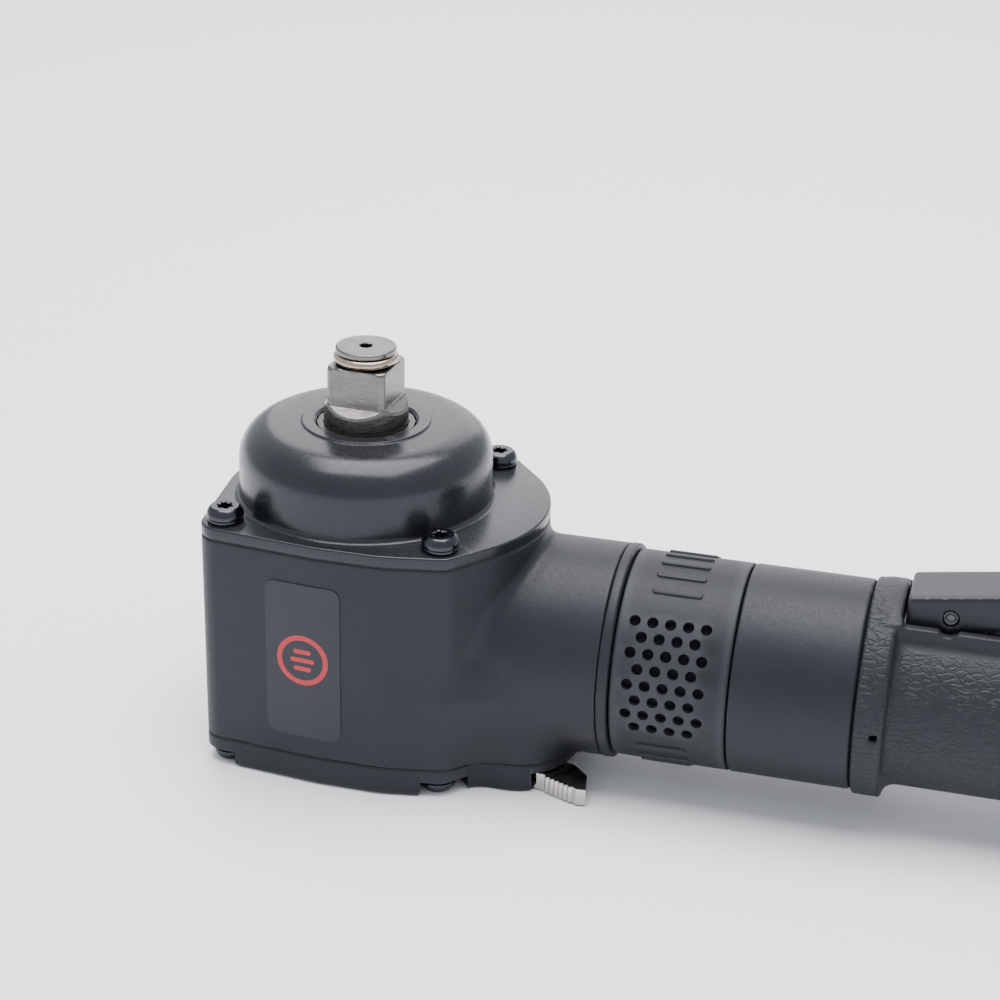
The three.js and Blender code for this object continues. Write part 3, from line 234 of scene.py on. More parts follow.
corner_circles = [(x, y, CORNER_R) for x, y in SCREWS]
head_outline = support_outline([(0, 0, HEAD_R), (HEAD_REACH, 0, HEAD_R), *corner_circles])
side = LOBE_HALF - LOBE_CORNER
lobe_x = math.sqrt((LOBE_R - LOBE_CORNER) ** 2 - side**2)
end_angles = np.linspace(-1, 1, 9) * math.atan2(side, lobe_x)
lobe_circles = [(lobe_x, s * side, LOBE_CORNER) for s in (-1, 1)]
lobe_circles += [(LOBE_R * math.cos(a), LOBE_R * math.sin(a), 0) for a in end_angles]
lobe_circles += [(0, -side, LOBE_CORNER), (0, side, LOBE_CORNER)]
lobe_outline = support_outline(lobe_circles)
head_rho = radius_over_angle(head_outline)
base_rho = soft_max(head_rho, radius_over_angle(lobe_outline), 3.0)
print("head across:", round(float(np.ptp(head_outline[:, 1])), 2), "mm")

# %% [markdown]
# ## Castings
# The head and the rubber grip are moulded, the throttle lever is a channel with leaning
# flanks, and the anvil has a milled square, so none of them is a plain turned shape.
# These four are distance fields: functions that are negative inside the material. Two
# shapes are joined with a soft minimum, whose width is the fillet. The surface where
# the field is zero is then walked cell by cell, and every point is pulled onto the
# true surface along the slope of the field.

# %% Distance fields
CHUNK = 20000


def soft_min(a, b, blend):
    """The smaller of two distances, with a fillet about as wide as blend."""
    h = np.maximum(blend - np.abs(a - b), 0) / blend
    return np.minimum(a, b) - h * h * blend / 4


def join_rounded(across, along, edge):
    """Inside both distances, with the rim between them rounded to the edge radius."""
    a, b = across + edge, along + edge
    outer = np.hypot(np.maximum(a, 0), np.maximum(b, 0))
    return outer + np.minimum(np.maximum(a, b), 0) - edge


def round_bar(across, value, radius, low, high, edge=0.4):
    """A bar: distance from its axis less the radius, between two planes."""
    middle, half = (low + high) / 2, (high - low) / 2
    return join_rounded(across - radius, np.abs(value - middle) - half, edge)


def rounded_in(distances, edge):
    """Inside three distances at once, with all the edges between them rounded."""
    d = [distance + edge for distance in distances]
    outer = np.sqrt(sum(np.maximum(q, 0) ** 2 for q in d))
    return outer + np.minimum(np.maximum(np.maximum(d[0], d[1]), d[2]), 0) - edge


def block(x, y, z, low, high, edge=0.5):
    """A box between two corners with rounded edges."""
    sides = [np.abs(v - (a + b) / 2) - (b - a) / 2 for v, a, b in zip((x, y, z), low, high)]
    return rounded_in(sides, edge)


def outline_distance(x, y, outline):
    """Distance to a convex outline: the nearest edge segment, signed by the side."""
    a, b = outline, np.roll(outline, -1, 0)
    edge = b - a
    long = (edge**2).sum(1)
    keep = long > 1e-9
    a, edge, long = a[keep], edge[keep], long[keep]
    flat = np.stack([x.ravel(), y.ravel()], -1)
    out = np.empty(len(flat))
    for s in range(0, len(flat), CHUNK):
        w = flat[s:s + CHUNK, None] - a
        t = np.clip((w * edge).sum(-1) / long, 0, 1)
        gap = w - t[..., None] * edge
        near = np.sqrt((gap**2).sum(-1).min(1))
        inside = (edge[:, 0] * w[..., 1] - edge[:, 1] * w[..., 0] >= 0).all(1)
        out[s:s + CHUNK] = np.where(inside, -near, near)
    return out.reshape(x.shape)


# %% Walking the surface
EDGE_STEPS = (-0.62, -0.36, -0.16, 0.03, 0.22, 0.45, 0.75)
LEAST_STEP = 0.06


def steps_along(low, high, cell, planes):
    """Even steps, with short ones beside every plane where the piece has an edge."""
    near = [p + o for p in planes for o in EDGE_STEPS]
    far = [v for v in np.arange(low, high + cell, cell)
           if all(abs(v - p) > EDGE_STEPS[-1] + cell / 2 for p in planes)]
    marks = np.unique(np.round(near + far, 4))
    return marks[np.r_[True, np.diff(marks) > LEAST_STEP]]


def surface_of(field, low, high, cell, planes=((), (), ())):
    """Points of the cells that the surface crosses, and a quad round each crossed edge."""
    axes = [steps_along(a, b, cell, p) for a, b, p in zip(low, high, planes)]
    grid = np.meshgrid(*axes, indexing="ij")
    value = field(*grid)
    size = np.array(value.shape) - 1
    corner = {c: value[tuple(slice(o, o + s) for o, s in zip(c, size))]
              for c in np.ndindex(2, 2, 2)}
    total, count = np.zeros((*size, 3)), np.zeros(size)
    for c in corner:
        for d in range(3):
            if c[d]:
                continue
            e = tuple(1 if k == d else c[k] for k in range(3))
            cross = (corner[c] < 0) != (corner[e] < 0)
            t = np.where(cross, corner[c] / np.where(cross, corner[c] - corner[e], 1), 0)
            for k in range(3):
                total[..., k] += np.where(cross, c[k] + (t if k == d else 0), 0)
            count += cross
    live = count > 0
    index = np.full(size, -1)
    index[live] = np.arange(live.sum())
    share = np.argwhere(live) + total[live] / count[live][:, None]
    points = np.stack([np.interp(share[:, k], np.arange(len(axis)), axis)
                       for k, axis in enumerate(axes)], -1)
    faces = [quads_along(value, index, d) for d in range(3)]
    return settle(field, points, cell), np.vstack(faces)


def quads_along(value, index, d):
    """For each grid edge in direction d that changes sign, the four cells round it."""
    one, two = (d + 1) % 3, (d + 2) % 3
    first = [slice(1, -1)] * 3
    first[d] = slice(0, -1)
    second = list(first)
    second[d] = slice(1, None)
    a, b = value[tuple(first)] < 0, value[tuple(second)] < 0
    at = np.argwhere(a != b)
    leaving = a[tuple(at.T)]
    base = at.copy()
    base[:, one] += 1
    base[:, two] += 1
    ring = []
    for u, v in ((1, 1), (0, 1), (0, 0), (1, 0)):
        place = base.copy()
        place[:, one] -= u
        place[:, two] -= v
        ring.append(index[tuple(place.T)])
    ring = np.stack(ring, -1)
    return np.where(leaving[:, None], ring, ring[:, ::-1])


def settle(field, points, cell, rounds=3, small=0.02):
    """Newton steps: each point moves against the slope by its distance over the slope."""
    for _ in range(rounds):
        x, y, z = points.T
        here = field(x, y, z)
        slope = np.stack([field(x + small, y, z) - field(x - small, y, z),
                          field(x, y + small, z) - field(x, y - small, z),
                          field(x, y, z + small) - field(x, y, z - small)], -1) / (2 * small)
        step = slope * (here / np.maximum((slope**2).sum(-1), 0.05))[:, None]
        points = points - np.clip(step, -cell / 2, cell / 2)
    return points


# %% [markdown]
# ## Finishes
# The castings wear a satin black enamel over a fine grain, which shows as tiny
# broken highlights. One helper starts a material, and small helpers add a noise that
# reads the piece's own coordinates in metres, so a scale of 1000 is one grain per
# millimetre.

# %% Material helpers
PAINT_TINT = (0.88, 0.90, 1.0, 1)


def start_material(name, color, roughness, metallic=0.0, gloss=0.5):
    """A Principled material; constant values sit on the shader's own sockets."""
    material = bpy.data.materials.new(name)
    material.use_nodes = True
    material.diffuse_color = (*color, 1)
    tree = material.node_tree
    shader = tree.nodes["Principled BSDF"]
    shader.inputs["Base Color"].default_value = (*color, 1)
    shader.inputs["Roughness"].default_value = roughness
    shader.inputs["Metallic"].default_value = metallic
    shader.inputs["Specular IOR Level"].default_value = gloss
    if not metallic:
        shader.inputs["Specular Tint"].default_value = PAINT_TINT
    place = tree.nodes.new("ShaderNodeTexCoord").outputs["Object"]
    return material, tree, shader, place


def stretched(tree, place, scale):
    """The piece's coordinates stretched by a scale for each axis."""
    node = tree.nodes.new("ShaderNodeMapping")
    node.inputs["Scale"].default_value = scale
    tree.links.new(place, node.inputs["Vector"])
    return node.outputs["Vector"]


def noise(tree, place, scale, detail=3.0, rough=0.55):
    """Soft noise between 0 and 1, with scale as the number of grains in a metre."""
    node = tree.nodes.new("ShaderNodeTexNoise")
    node.inputs["Scale"].default_value = scale
    node.inputs["Detail"].default_value = detail
    node.inputs["Roughness"].default_value = rough
    tree.links.new(place, node.inputs["Vector"])
    return node.outputs["Fac"]


def cells(tree, place, scale):
    """Distance to the nearest border of a pattern of cells."""
    node = tree.nodes.new("ShaderNodeTexVoronoi")
    node.feature = "DISTANCE_TO_EDGE"
    node.inputs["Scale"].default_value = scale
    tree.links.new(place, node.inputs["Vector"])
    return node.outputs["Distance"]


def ramp(tree, value, low, high, out_low, out_high):
    """A straight line from (low, out_low) to (high, out_high), held at both ends."""
    node = tree.nodes.new("ShaderNodeMapRange")
    for key, number in zip(("From Min", "From Max", "To Min", "To Max"),
                           (low, high, out_low, out_high)):
        node.inputs[key].default_value = number
    tree.links.new(value, node.inputs["Value"])
    return node.outputs["Result"]


def mix_colors(tree, value, first, second):
    """first where value is 0, second where it is 1; either may be a socket."""
    node = tree.nodes.new("ShaderNodeMix")
    node.data_type = "RGBA"
    tree.links.new(value, node.inputs[0])
    for socket, color in ((node.inputs[6], first), (node.inputs[7], second)):
        if isinstance(color, tuple):
            socket.default_value = (*color, 1)
        else:
            tree.links.new(color, socket)
    return node.outputs[2]


def multiplied(tree, first, second):
    """The product of two sockets."""
    node = tree.nodes.new("ShaderNodeMath")
    node.operation = "MULTIPLY"
    tree.links.new(first, node.inputs[0])
    tree.links.new(second, node.inputs[1])
    return node.outputs["Value"]


def add_bump(tree, shader, height, strength, distance_mm, before=None):
    """The shader's normal tipped by a height, on top of an earlier bump where given."""
    node = tree.nodes.new("ShaderNodeBump")
    node.inputs["Strength"].default_value = strength
    node.inputs["Distance"].default_value = distance_mm * MM
    tree.links.new(height, node.inputs["Height"])
    if before:
        tree.links.new(before, node.inputs["Normal"])
    tree.links.new(node.outputs["Normal"], shader.inputs["Normal"])
    return node.outputs["Normal"]


def edge_wear(tree, low, high, amount):
    """How far a point stands out from its neighbours, as a 0 to amount mask."""
    geometry = tree.nodes.new("ShaderNodeNewGeometry")
    return ramp(tree, geometry.outputs["Pointiness"], low, high, 0, amount)


# %% Enamel and metals
def enamel(name, color, roughness, grain_scale, grain, gloss, wear=0.2):
    """Satin black paint: two close tones, a grain in height, and rubbed edges."""
    material, tree, shader, place = start_material(name, color, roughness, gloss=gloss)
    broad = noise(tree, place, 60, 2)
    lighter = tuple(c * 1.12 + 0.0008 for c in color)
    tone = mix_colors(tree, ramp(tree, broad, 0.35, 0.65, 0, 1), color, lighter)
    rubbed = edge_wear(tree, 0.53, 0.60, wear)
    tree.links.new(mix_colors(tree, rubbed, tone, (0.10, 0.105, 0.12)),
                   shader.inputs["Base Color"])
    fine = noise(tree, place, grain_scale, 4)
    tree.links.new(ramp(tree, fine, 0.3, 0.7, roughness - 0.05, roughness + 0.07),
                   shader.inputs["Roughness"])
    add_bump(tree, shader, fine, grain, 0.06)
    return material


def metal(name, color, roughness, stretch, marks=0.12, bump=0.08, stain=None):
    """Machined metal: noise drawn out across the cut gives the tool marks."""
    material, tree, shader, place = start_material(name, color, roughness, metallic=1.0)
    cut = noise(tree, stretched(tree, place, stretch), 1.0, 5)
    blotch = noise(tree, place, 170, 3)
    dark = stain or tuple(c * 0.72 for c in color)
    tone = mix_colors(tree, ramp(tree, blotch, 0.4, 0.75, 0, 0.75), color, dark)
    tree.links.new(tone, shader.inputs["Base Color"])
    tree.links.new(ramp(tree, cut, 0.3, 0.7, roughness - marks, roughness + marks),
                   shader.inputs["Roughness"])
    add_bump(tree, shader, cut, bump, 0.02)
    return material


SLATE = (0.0105, 0.0115, 0.0145)
casting_paint = enamel("casting_paint", SLATE, 0.46, 1500, 0.45, 0.30)
cover_paint = enamel("cover_paint", (0.0085, 0.0094, 0.0115), 0.25, 700, 0.006, 0.42)
sleeve_paint = enamel("sleeve_paint", (0.0105, 0.0115, 0.0135), 0.50, 2200, 0.22, 0.30)
lever_paint = enamel("lever_paint", (0.0085, 0.0094, 0.0115), 0.37, 1800, 0.06, 0.36)
drive_steel = metal("drive_steel", (0.17, 0.161, 0.155), 0.27, (350, 350, 3200), bump=0.12,
                    stain=(0.125, 0.118, 0.112))
turned_steel = metal("turned_steel", (0.55, 0.55, 0.56), 0.30, (600, 600, 4000))
dark_steel = metal("dark_steel", (0.10, 0.105, 0.115), 0.42, (900, 900, 900), marks=0.08)
screw_black = metal("screw_black", (0.055, 0.058, 0.068), 0.22, (1200, 1200, 1200), marks=0.06)
nickel_plate = metal("nickel_plate", (0.50, 0.475, 0.445), 0.12, (500, 500, 500), marks=0.05, bump=0.02,
                     stain=(0.40, 0.375, 0.345))
ring_wire = metal("ring_wire", (0.44, 0.36, 0.30), 0.20, (900, 900, 3000))
collar_bronze = metal("collar_bronze", (0.10, 0.092, 0.085), 0.38, (2500, 2500, 2500))
sinter_bronze = metal("sinter_bronze", (0.52, 0.36, 0.19), 0.42, (2500, 2500, 2500))
bare_aluminium = metal("bare_aluminium", (0.24, 0.245, 0.255), 0.42, (3000, 500, 500))
print("finishes so far:", len(bpy.data.materials))

# %% [markdown]
# ## Rubber, felt, fibre and film
# The grip's skin is wrinkled like leather: flat-topped islands two to three
# millimetres long and half as wide, with soft valleys between them. A cell pattern
# gives the islands, and a warp by noise keeps the valleys from looking like a net.
# The valleys are also painted a little darker: painted shade in the creases.

# %% Soft finishes
def wrinkled_rubber():
    """Long cells pushed about by a noise; the skin sinks a little between them, and the valleys get
    painted shade.
    """
    material, tree, shader, place = start_material(
        "grip_rubber", (0.0125, 0.0135, 0.016), 0.58, gloss=0.34)
    push = tree.nodes.new("ShaderNodeTexNoise")
    push.inputs["Scale"].default_value = 330
    tree.links.new(place, push.inputs["Vector"])
    shift = tree.nodes.new("ShaderNodeVectorMath")
    shift.operation = "MULTIPLY_ADD"
    shift.inputs[1].default_value = (0.0034, 0.0022, 0.0022)
    tree.links.new(push.outputs["Color"], shift.inputs[0])
    tree.links.new(place, shift.inputs[2])
    valley = cells(tree, stretched(tree, shift.outputs["Vector"], (390, 790, 790)), 1.0)
    island = ramp(tree, valley, 0.0, 0.20, 0, 1)
    amount = tree.nodes.new("ShaderNodeAttribute")
    amount.attribute_name = "wrinkle"
    fade = ramp(tree, noise(tree, place, 190, 2), 0.36, 0.60, 0.45, 1.0)
    height = multiplied(tree, island, multiplied(tree, fade, amount.outputs["Fac"]))
    fine = noise(tree, place, 2600, 3)
    # Painted shade: the valleys take the darker colour and the islands the lighter one.
    tone = mix_colors(tree, island, (0.0105, 0.0115, 0.0135), (0.013, 0.014, 0.0165))
    tree.links.new(tone, shader.inputs["Base Color"])
    tree.links.new(ramp(tree, fine, 0.3, 0.7, 0.44, 0.58), shader.inputs["Roughness"])
    low = add_bump(tree, shader, fine, 0.12, 0.05)
    add_bump(tree, shader, height, 0.8, 0.16, before=low)
    return material


def plain_soft(name, color, roughness, scale, strength):
    """A dull material in two close tones, with a fine grain in height."""
    material, tree, shader, place = start_material(name, color, roughness)
    fine = noise(tree, place, scale, 4)
    darker = tuple(c * 0.6 for c in color)
    tree.links.new(mix_colors(tree, ramp(tree, fine, 0.3, 0.7, 0, 1), darker, color),
                   shader.inputs["Base Color"])
    add_bump(tree, shader, fine, strength, 0.1)
    return material


grip_rubber = wrinkled_rubber()
plain_rubber = plain_soft("plain_rubber", (0.02, 0.02, 0.022), 0.7, 1500, 0.2)
vane_fibre = plain_soft("vane_fibre", (0.16, 0.11, 0.07), 0.8, 2500, 0.4)
gasket_fibre = plain_soft("gasket_fibre", (0.018, 0.018, 0.021), 0.85, 2500, 0.4)
baffle_felt = plain_soft("baffle_felt", (0.010, 0.010, 0.012), 0.95, 3500, 0.7)
label_film, film_tree, film_shader, film_place = start_material(
    "label_film", (0.0165, 0.0175, 0.021), 0.40, gloss=0.34)
film_grain = noise(film_tree, film_place, 2400, 3)
film_tree.links.new(ramp(film_tree, film_grain, 0.3, 0.7, 0.30, 0.40),
                    film_shader.inputs["Roughness"])
label_red, red_tree, red_shader, red_place = start_material("label_red", (0.40, 0.018, 0.024), 0.5)
red_grain = noise(red_tree, red_place, 3000, 3)
red_tree.links.new(mix_colors(red_tree, red_grain, (0.36, 0.014, 0.02), (0.46, 0.022, 0.03)),
                   red_shader.inputs["Base Color"])
print("finishes:", len(bpy.data.materials))

# %% [markdown]
# ## The cast head and neck
# The head is the oval raised to its height, the neck is a round bar along the handle,
# and a block under the neck carries on the lobe of the bottom cover. In the upper
# half the neck meets the head in a tight fillet. From a little above the handle's axis
# down, the shapes melt into each other: there the soft minimum grows wider.

# %% Head housing
BASE_TOP, SEAM_LOW, SEAM_HIGH = 6.0, 6.3, 51.5
HANDLE_Z = 25.9
NECK_R, NECK_END = 22.2, 55.0
SPIGOT_R, SPIGOT_END = 17.0, 84.4
MOTOR_BORE_R = 24.6
AIR_R = 6.1
UNDERCUT_Z = 4.7
RIM_EDGE = 0.35
COARSE = 6
coarse_head = head_outline[::COARSE]
coarse_lobe = lobe_outline[::COARSE]


def plan_distance(x, y, outline):
    """Distance to the outline in plan; on a grid the heights share one layer."""
    if x.ndim == 3:
        return outline_distance(x[..., :1], y[..., :1], outline)
    return outline_distance(x, y, outline)


def housing_field(x, y, z):
    """Oval head, round neck and lobe block joined softly, less bore and air passage."""
    around = np.hypot(y, z - HANDLE_Z)
    from_anvil = np.hypot(x, y)
    height = np.abs(z - (SEAM_LOW + SEAM_HIGH) / 2) - (SEAM_HIGH - SEAM_LOW) / 2
    head = join_rounded(plan_distance(x, y, coarse_head), height, RIM_EDGE)
    neck = round_bar(around, x, NECK_R, 0, NECK_END - 0.1, RIM_EDGE)
    block_height = np.maximum(SEAM_LOW - z, z - HANDLE_Z)
    lobe = join_rounded(plan_distance(x, y, coarse_lobe), block_height, RIM_EDGE)
    melt = np.clip((31.0 - z) / 9.0, 0, 1) * np.clip((x - 12.0) / 14.0, 0, 1)
    casting = soft_min(soft_min(head, neck, 2.4 + 9.0 * melt), lobe, 3.0)
    rho = np.interp(np.arctan2(y, x) % (2 * np.pi), theta, base_rho, period=2 * np.pi)
    over_cover = np.clip((rho + 0.9 - from_anvil) / 0.6, 0, 1)
    casting = np.maximum(casting, UNDERCUT_Z + (SEAM_LOW - UNDERCUT_Z) * over_cover - z)
    casting = np.minimum(casting, round_bar(around, x, SPIGOT_R, 30, SPIGOT_END, 0.5))
    bore = MOTOR_BORE_R - from_anvil
    air = np.where(x > 0, AIR_R - around, bore)
    return np.maximum(np.maximum(casting, bore), air)


HOUSING_PLANES = ((NECK_END - 0.1,), (), (SEAM_LOW, SEAM_HIGH))
housing = surface_of(housing_field, (-30.5, -31, 4.0), (85.5, 31, 52.5), 0.8, HOUSING_PLANES)
make_piece("head_casting", [housing], casting_paint, "head_housing", "root",
           weld=False, sharp=NEVER_SHARP)

# %% [markdown]
# ## Hammer case cover
# A smooth dome stands on a flat flange. The dome's shoulder has a large radius and its
# foot a small fillet. Round the anvil a low land was turned flat, and the hole has a
# chamfer. The flange shares the head's oval.

# %% Dome and flange
FLANGE_LOW, FLANGE_TOP, DOME_TOP = 51.8, 54.2, 70.2
DOME_R, DOME_SHOULDER, DOME_FOOT = 26.2, 7.5, 1.2
SPOT_R, SPOT_H, BORE_R = 13.1, 0.4, 10.3
INSIDE_R, CEILING = 23.4, 66.4
BUSH_R, BUSH_LOW = 13.2, 63.0
dome_profile = rounded([
    (DOME_R + DOME_FOOT, FLANGE_TOP - 0.3), (DOME_R + DOME_FOOT, FLANGE_TOP + 0.02),
    (DOME_R, FLANGE_TOP + 0.02, DOME_FOOT), (DOME_R, DOME_TOP, DOME_SHOULDER),
    (SPOT_R + 0.35, DOME_TOP, 0.2), (SPOT_R, DOME_TOP + SPOT_H, 0.15),
    (BORE_R + 0.55, DOME_TOP + SPOT_H, 0.1), (BORE_R, DOME_TOP + SPOT_H - 0.55, 0.1),
    (BORE_R, BUSH_LOW), (BUSH_R, BUSH_LOW), (BUSH_R, CEILING), (INSIDE_R, CEILING, 6.0),
    (INSIDE_R, FLANGE_TOP - 0.3)], steps=10)
flange_rim = rounded([(0, FLANGE_LOW, 0.25), (0, FLANGE_TOP, 0.4), (5.0, FLANGE_TOP),
                      (5.0, FLANGE_LOW)], steps=4)[:-2]
flange_rows = [head_rho - inset for inset, _ in flange_rim] + [0 * head_rho + INSIDE_R + 0.2] * 2
flange_heights = [h for _, h in flange_rim] + [FLANGE_TOP, FLANGE_LOW]
flange = turned_by(flange_rows, flange_heights, closed=True)
make_piece("case_cover", [turned(dome_profile, 192), flange], cover_paint,
           "hammer_case_cover", "root")


# %% Gaskets
GASKET_INSET = 0.18


def gasket(name, node, rho, low, high):
    """A thin sheet between two castings, its edge drawn back a little."""
    rows = [rho - GASKET_INSET] * 2 + [0 * rho + MOTOR_BORE_R] * 2
    shell = turned_by(rows, [low, high, high, low], closed=True)
    make_piece(name, [shell], gasket_fibre, node, "root")


gasket("upper_gasket", "cover_gasket", head_rho, SEAM_HIGH, FLANGE_LOW)
gasket("lower_gasket", "base_gasket", base_rho, BASE_TOP, SEAM_LOW)

# %% [markdown]
# ## Bottom cover
# The flat cover closes the motor from below and its lobe holds the reverse lever. Its
# lower edge is rounded. The pockets for the screw heads are open to the side, and the
# lever leaves through a slot in the lobe's end; these are cut out with a boolean.

# %% Bottom cover
BASE_EDGE = 1.3
POCKET_R, POCKET_OUT, POCKET_DEPTH = 5.5, 1.1, 3.4


def cut_with(piece, cutters):
    """Each cutter shell is taken away from the piece, and the result kept as its mesh."""
    tools = []
    for number, (verts, faces) in enumerate(cutters):
        mesh = bpy.data.meshes.new(f"cutter_{number}")
        mesh.from_pydata((np.asarray(verts) * MM).tolist(), [], [list(map(int, f)) for f in faces])
        weld_up(mesh)
        tool = bpy.data.objects.new(f"cutter_{number}", mesh)
        bpy.context.scene.collection.objects.link(tool)
        modifier = piece.modifiers.new(f"cut_{number}", "BOOLEAN")
        modifier.operation = "DIFFERENCE"
        modifier.object = tool
        tools.append(tool)
    done = piece.evaluated_get(bpy.context.evaluated_depsgraph_get())
    mesh = bpy.data.meshes.new_from_object(done)
    mesh.set_sharp_from_angle(angle=math.radians(SHARP_DEG))
    piece.modifiers.clear()
    piece.data = mesh
    for tool in tools:
        bpy.data.objects.remove(tool)
    print(piece.name, "after cutting:", len(mesh.polygons), "faces")


base_profile = rounded([(5, 0), (0, 0, BASE_EDGE), (0, BASE_TOP, 0.25), (5, BASE_TOP)], steps=6)
base_rows = [0 * base_rho] + [base_rho - inset for inset, _ in base_profile] + [0 * base_rho]
base_heights = [0] + [h for _, h in base_profile] + [BASE_TOP]


def fan_shell(r0, r1, low_deg, high_deg, low, high, steps=24):
    """A block between two radii and two angles about the anvil."""
    a = np.radians(np.linspace(low_deg, high_deg, steps))
    ring = np.stack([np.cos(a), np.sin(a)], -1)
    outline = np.vstack([ring * r1, ring[::-1] * r0])
    return raised(outline, [(0, low), (0, high)])


bottom = make_piece("bottom_plate", [turned_by(base_rows, base_heights)], casting_paint,
                    "bottom_cover", "root")
SWING = 24.6
SWING_LOW, SWING_TOP, MOUTH_R = 1.9, 4.4, 45.3
outward = [(x + math.copysign(POCKET_OUT, x), y + math.copysign(POCKET_OUT, y)) for x, y in SCREWS]
cut_with(bottom, [*[bar_shell(POCKET_R, -1, POCKET_DEPTH, s) for s in outward],
                  fan_shell(MOUTH_R, 60, -SWING, SWING, -1, SWING_TOP),
                  fan_shell(20, 46, -SWING, SWING, SWING_LOW, SWING_TOP)])

# %% [markdown]
# ## Screws and lock washers
# Button-head screws with a six-lobed socket hold both covers, each on a split washer.
# The head is turned, and only the rows of its socket carry lobes: there the radius
# rises and falls six times in a turn.

# %% Fasteners
M4_R, BUTTON_R, BUTTON_H = 2.0, 3.8, 2.3
SOCKET_R, LOBE_SIZE, SOCKET_DEPTH = 1.42, 0.20, 1.25
WASHER_R, WASHER_T = 3.7, 1.0


def button_screw(length, sides=96):
    """Rows from the shank's end up over the domed head and down into the socket."""
    t = np.linspace(0, 2 * np.pi, sides, endpoint=False)
    lobes = SOCKET_R + LOBE_SIZE * np.cos(6 * t)
    crown = np.radians(np.linspace(0, 62, 9))
    rows = [0 * t, 0 * t + M4_R - 0.3, 0 * t + M4_R, 0 * t + M4_R, 0 * t + BUTTON_R - 0.2,
            0 * t + BUTTON_R]
    heights = [-length, -length, -length + 0.3, 0, 0, 0.2]
    scale = (BUTTON_H - 0.35) / math.sin(crown[-1])
    for a in crown:
        rows.append(0 * t + SOCKET_R + 0.5 + (BUTTON_R - SOCKET_R - 0.5) * math.cos(a))
        heights.append(0.35 + scale * math.sin(a))
    for grow, down in ((0.22, 0), (0.0, 0.18), (0.0, SOCKET_DEPTH)):
        rows.append(lobes + grow)
        heights.append(BUTTON_H - down)
    rows.append(0 * t)
    heights.append(BUTTON_H - SOCKET_DEPTH - 0.25)
    return np.array(rows), np.array(heights)


def split_washer(turn_deg, gap_deg=9, steps=72):
    """A square wire bent round, with a small gap between its ends."""
    t = np.radians(np.linspace(gap_deg / 2, 360 - gap_deg / 2, steps) + turn_deg)
    section = rounded([(M4_R + 0.15, 0, 0.12), (WASHER_R, 0, 0.2), (WASHER_R, WASHER_T, 0.2),
                       (M4_R + 0.15, WASHER_T, 0.12)], steps=2)
    r, h = section[:, 0][:, None] + 0 * t, section[:, 1][:, None] + 0 * t
    grid = np.stack([r * np.cos(t), r * np.sin(t), h], -1)
    faces = grid_faces(len(section), steps, wrap_rows=True, wrap_columns=False).tolist()
    first = [i * steps for i in range(len(section))]
    return grid.reshape(-1, 3), faces + [first, [i + steps - 1 for i in first][::-1]]


for number, (sx, sy) in enumerate(SCREWS, 1):
    for kind, flip, seat, length in (("cover", 1, FLANGE_TOP, 14), ("base", -1, POCKET_DEPTH, 13)):
        rows, heights = button_screw(length)
        shell, faces = turned_by(rows, heights)
        shell = shell * (1, flip, flip) + (sx, sy, seat + flip * WASHER_T)
        make_piece(f"{kind}_button_{number}", [(shell, faces)], screw_black,
                   f"{kind}_screw_{number}", "root")
        shell, faces = split_washer(75 * number + 20 * flip)
        shell = shell * (1, 1, flip) + (sx, sy, seat)
        make_piece(f"{kind}_split_{number}", [(shell, faces)], screw_black,
                   f"{kind}_lock_washer_{number}", "root")

# %% [markdown]
# ## The anvil
# The square was milled on a turned blank, so its corners are round and its flats run
# out in small ramps above the collar. The field joins the turned bars and takes away
# what lies outside the flats. A sprung ring in the groove holds the socket.

# %% Anvil and friction ring
SQUARE_HALF, CORNER_TURN, COLLAR_R = 6.35, 8.35, 8.7
SQUARE_LOW, SQUARE_TOP = 75.05, 83.05
RING_OUT, RING_WIRE = 6.7, 1.0
GROOVE_TOP, NOSE_TOP, NOSE_R = 85.25, 86.5, 6.2
CENTRE_R, CENTRE_DEPTH = 1.35, 2.6
RAMP_SLOPE = 1.62
SQUARE_TURN = math.radians(-4)
turn = np.array([[math.cos(SQUARE_TURN), -math.sin(SQUARE_TURN)],
                 [math.sin(SQUARE_TURN), math.cos(SQUARE_TURN)]])


def anvil_field(x, y, z):
    """Turned bars, less what lies outside the four flats and their run-out ramps."""
    r = np.hypot(x, y)
    u, v = x * turn[0, 0] + y * turn[1, 0], x * turn[0, 1] + y * turn[1, 1]
    blank = np.minimum(round_bar(r, z, COLLAR_R, 46.0, SQUARE_LOW + 0.1, 0.3),
                       round_bar(r, z, CORNER_TURN, 70.0, SQUARE_TOP, 0.75))
    ramp_out = RAMP_SLOPE * np.maximum(SQUARE_LOW - z, 0)
    flats = np.maximum(np.abs(u), np.abs(v)) - SQUARE_HALF - ramp_out
    flats = flats * np.where(ramp_out > 0, 0.6, 1)
    stub = join_rounded(blank, flats, 0.16)
    nose = round_bar(r, z, NOSE_R, GROOVE_TOP, NOSE_TOP, 0.28)
    stub = np.minimum(np.minimum(stub, nose), round_bar(r, z, 4.6, 82.0, 86.0, 0.1))
    stub = np.minimum(stub, round_bar(r, z, 5.2, 44.0, 47.0, 0.2))
    return np.maximum(stub, -np.maximum(r - CENTRE_R, NOSE_TOP - CENTRE_DEPTH - z))


ANVIL_PLANES = ((), (), (SQUARE_TOP, GROOVE_TOP, NOSE_TOP))
stub = surface_of(anvil_field, (-9.1, -9.1, 43.5), (9.1, 9.1, 87.0), 0.3, ANVIL_PLANES)
jaws = []
for height, sign in ((46.4, 1), (52.6, -1)):
    jaw, jaw_faces = bar_shell(5.0, height, height + 5.4, (5.0 * sign, 0))
    jaw[:, :2] = jaw[:, :2] @ turn.T
    jaws.append((jaw, jaw_faces))
make_piece("drive_anvil", [stub, *jaws], drive_steel, "anvil", "anvil_body", sharp=50)

